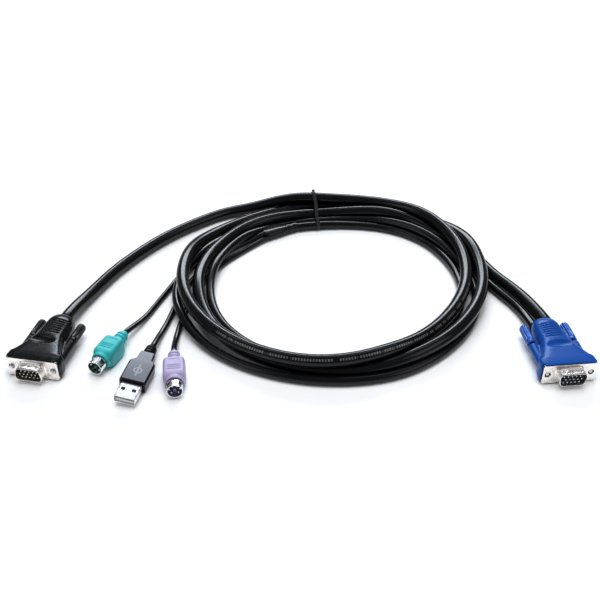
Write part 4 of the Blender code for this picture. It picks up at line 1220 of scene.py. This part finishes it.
def twist_tie():
    """Paper-covered wire round the strands, its two ends twisted together."""
    thick, wide = 0.85, 2.5
    ca, sa = math.cos(math.radians(TIE_DEG)), math.sin(math.radians(TIE_DEG))

    def at(r, z, side=0.0):
        return np.array((COIL_C[0] + r * ca - side * sa, COIL_C[1] + r * sa + side * ca, z))
    pts = []
    for path, rad in ((video_path, VIDEO_D / 2), (data_path, DATA_D / 2)):
        for q in path:
            dx, dy = q[0] - COIL_C[0], q[1] - COIL_C[1]
            rr, ang = math.hypot(dx, dy), math.degrees(math.atan2(dy, dx))
            if abs(ang - TIE_DEG) < 1.7 and 60 < rr < 115:
                m = rad + thick / 2 + 0.1
                for i in range(24):
                    a = 2 * math.pi * i / 24
                    pts.append((rr + m * math.cos(a), max(q[2] + m * math.sin(a), thick / 2 + 0.02)))
    ring = hull_of(pts)
    d = np.concatenate([[0], np.cumsum(np.linalg.norm(np.diff(ring, axis=0), axis=1))])
    n = 110
    loop = np.stack([np.interp(np.linspace(0, d[-1], n + 1)[:-1], d, ring[:, i]) for i in range(2)], axis=1)
    for _ in range(3):
        loop = (np.roll(loop, 1, 0) + loop * 2 + np.roll(loop, -1, 0)) / 4
    # section: flat paper wings with the wire in the middle
    sect = [(-0.5, 0.0), (-0.47, 0.16), (-0.2, 0.2), (-0.12, 0.42), (0.0, 0.5), (0.12, 0.42), (0.2, 0.2),
            (0.47, 0.16), (0.5, 0.0), (0.47, -0.16), (0.2, -0.2), (0.0, -0.3), (-0.2, -0.2), (-0.47, -0.16)]
    bm = bmesh.new()
    loops = []
    for i in range(n):
        t = loop[(i + 1) % n] - loop[i - 1]
        t /= np.linalg.norm(t)
        out = np.array((t[1], -t[0]))
        row = []
        for w, h in sect:
            q = loop[i] + out * (h * thick)
            row.append(bm.verts.new(in_frame(at(q[0], q[1], w * wide + 0.25 * math.sin(i * 0.21)))))
        loops.append(row)
    for i in range(n):
        a, b = loops[i], loops[(i + 1) % n]
        for k in range(len(sect)):
            j = (k + 1) % len(sect)
            bm.faces.new((a[k], a[j], b[j], b[k])).smooth = True
    band = mesh_object("twist_tie_band", bm)
    # ends, twisted round each other for nearly a turn outside the uppermost cord
    top = loop[np.argmax(loop[:, 0] * 0.62 + loop[:, 1] * 0.78)]
    aim = np.array((0.60, 0.80))
    ends = []
    for k in (0, 1):
        path = []
        for i in range(40):
            t = i / 39
            s = -0.6 + 1.9 * t
            turn = 2 * math.pi * 0.9 * t + math.pi * k
            rr = 0.52
            c = top + aim * s
            off = np.array((-aim[1], aim[0])) * rr * math.cos(turn)
            path.append(at(c[0] + off[0], c[1] + off[1], rr * math.sin(turn)))
        ends.append(tube("tie_end", np.array(path), 1.05, 10, flat=False))
    join_into(band, ends)
    sharpen(band, 60)
    return band


tie = finish_piece(twist_tie(), "tie")
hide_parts("twist_tie")

# --------------------------------------------------------------------------
# CAD nodes that stay: better materials
# --------------------------------------------------------------------------
KEEP = {"nickel_plate": "nickel", "steel": "steel", "navy_insulator": "navy", "dark_insulator": "brown",
        "green_insulator": "dkgreen", "purple_insulator": "dkpurple", "white_tongue": "white",
        "plated_contact": "brass"}


def dress(node, mat):
    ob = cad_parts[node]
    if len(ob.material_slots) == 0:
        ob.data.materials.append(MAT[mat])
    for s in ob.material_slots:
        s.link = "OBJECT"
        s.material = MAT[mat]


for p in ("black", "blue"):
    dress(p + "_video_rear_shell", "nickel")
    dress(p + "_video_insulator", "brown" if p == "black" else "navy")
    for k in (1, 2, 3):
        dress(f"{p}_video_pin_row_{k}", "pin")
for p in ("green", "purple"):
    dress(p + "_ps2_shell", "steel")
    dress(p + "_ps2_insulator", "dkgreen" if p == "green" else "dkpurple")
    for k in range(1, 7):
        dress(f"{p}_ps2_pin_{k}", "pin")
dress("usb_shell", "steel")
dress("usb_tongue", "white")
for k in range(1, 5):
    dress(f"usb_contact_{k}", "brass")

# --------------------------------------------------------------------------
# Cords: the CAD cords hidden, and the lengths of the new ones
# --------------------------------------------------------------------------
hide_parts("video_cord_black_end", "video_cord_blue_end", "coil")
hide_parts("data_cord_blue_end")
for k in ("green", "usb", "purple"):
    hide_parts("thin_cord_" + k)


THIN_LENGTH = {"green": 0.14, "usb": 0.13, "purple": 0.14}
print("lengths, mm:", round(route_length(video_path)), round(route_length(data_path)),
      {k: round(route_length(p)) for k, p in thin_paths.items()})

# --------------------------------------------------------------------------
# Floor and light
# --------------------------------------------------------------------------
bm = bmesh.new()
bmesh.ops.create_grid(bm, x_segments=2, y_segments=2, size=3.0)
me = bpy.data.meshes.new("floor")
bm.to_mesh(me)
bm.free()
floor = bpy.data.objects.new("floor", me)
floor.location = (0, 0, -0.00005)
COLL.objects.link(floor)
me.materials.append(floor_k.m)

world = bpy.data.worlds.new("studio") if not bpy.data.worlds else bpy.data.worlds[0]
bpy.context.scene.world = world
world.use_nodes = True
bg = world.node_tree.nodes.get("Background") or world.node_tree.nodes.new("ShaderNodeBackground")
bg.inputs["Color"].default_value = (0.95, 0.97, 1.0, 1.0)
bg.inputs["Strength"].default_value = 0.20


def softbox(name, location, target, size, energy, colour=(1.0, 1.0, 1.0)):
    li = bpy.data.lights.new(name, "AREA")
    li.shape = "RECTANGLE"
    li.size, li.size_y = size
    li.energy = energy
    li.color = colour
    ob = bpy.data.objects.new(name, li)
    ob.location = location
    d = Vector(target) - Vector(location)
    ob.rotation_euler = d.to_track_quat("-Z", "Y").to_euler()
    COLL.objects.link(ob)
    return ob


# the overhead light is kept out of reflections, so that the jackets stay black
key = softbox("key", (0.02, 0.02, 1.25), (0.0, 0.05, 0.0), (1.0, 0.8), 12.5, (0.965, 0.98, 1.0))
key.visible_glossy = False
softbox("strip", (0.0, 0.55, 1.15), (0.0, 0.08, 0.0), (1.3, 0.16), 1.6, (0.88, 0.94, 1.0))
softbox("back", (0.0, 1.35, 0.84), (0.0, 0.10, 0.0), (1.15, 0.36), 13.5, (0.87, 0.93, 1.0))
softbox("fill_left", (-1.1, -0.5, 0.8), (0, 0.0, 0), (0.9, 0.9), 3.2)
softbox("fill_right", (1.1, -0.4, 0.9), (0, 0.0, 0), (0.9, 0.9), 3.2)
bpy.context.scene.view_settings.view_transform = "Standard"
bpy.context.scene.view_settings.look = "None"
bpy.context.scene.view_settings.gamma = 0.85
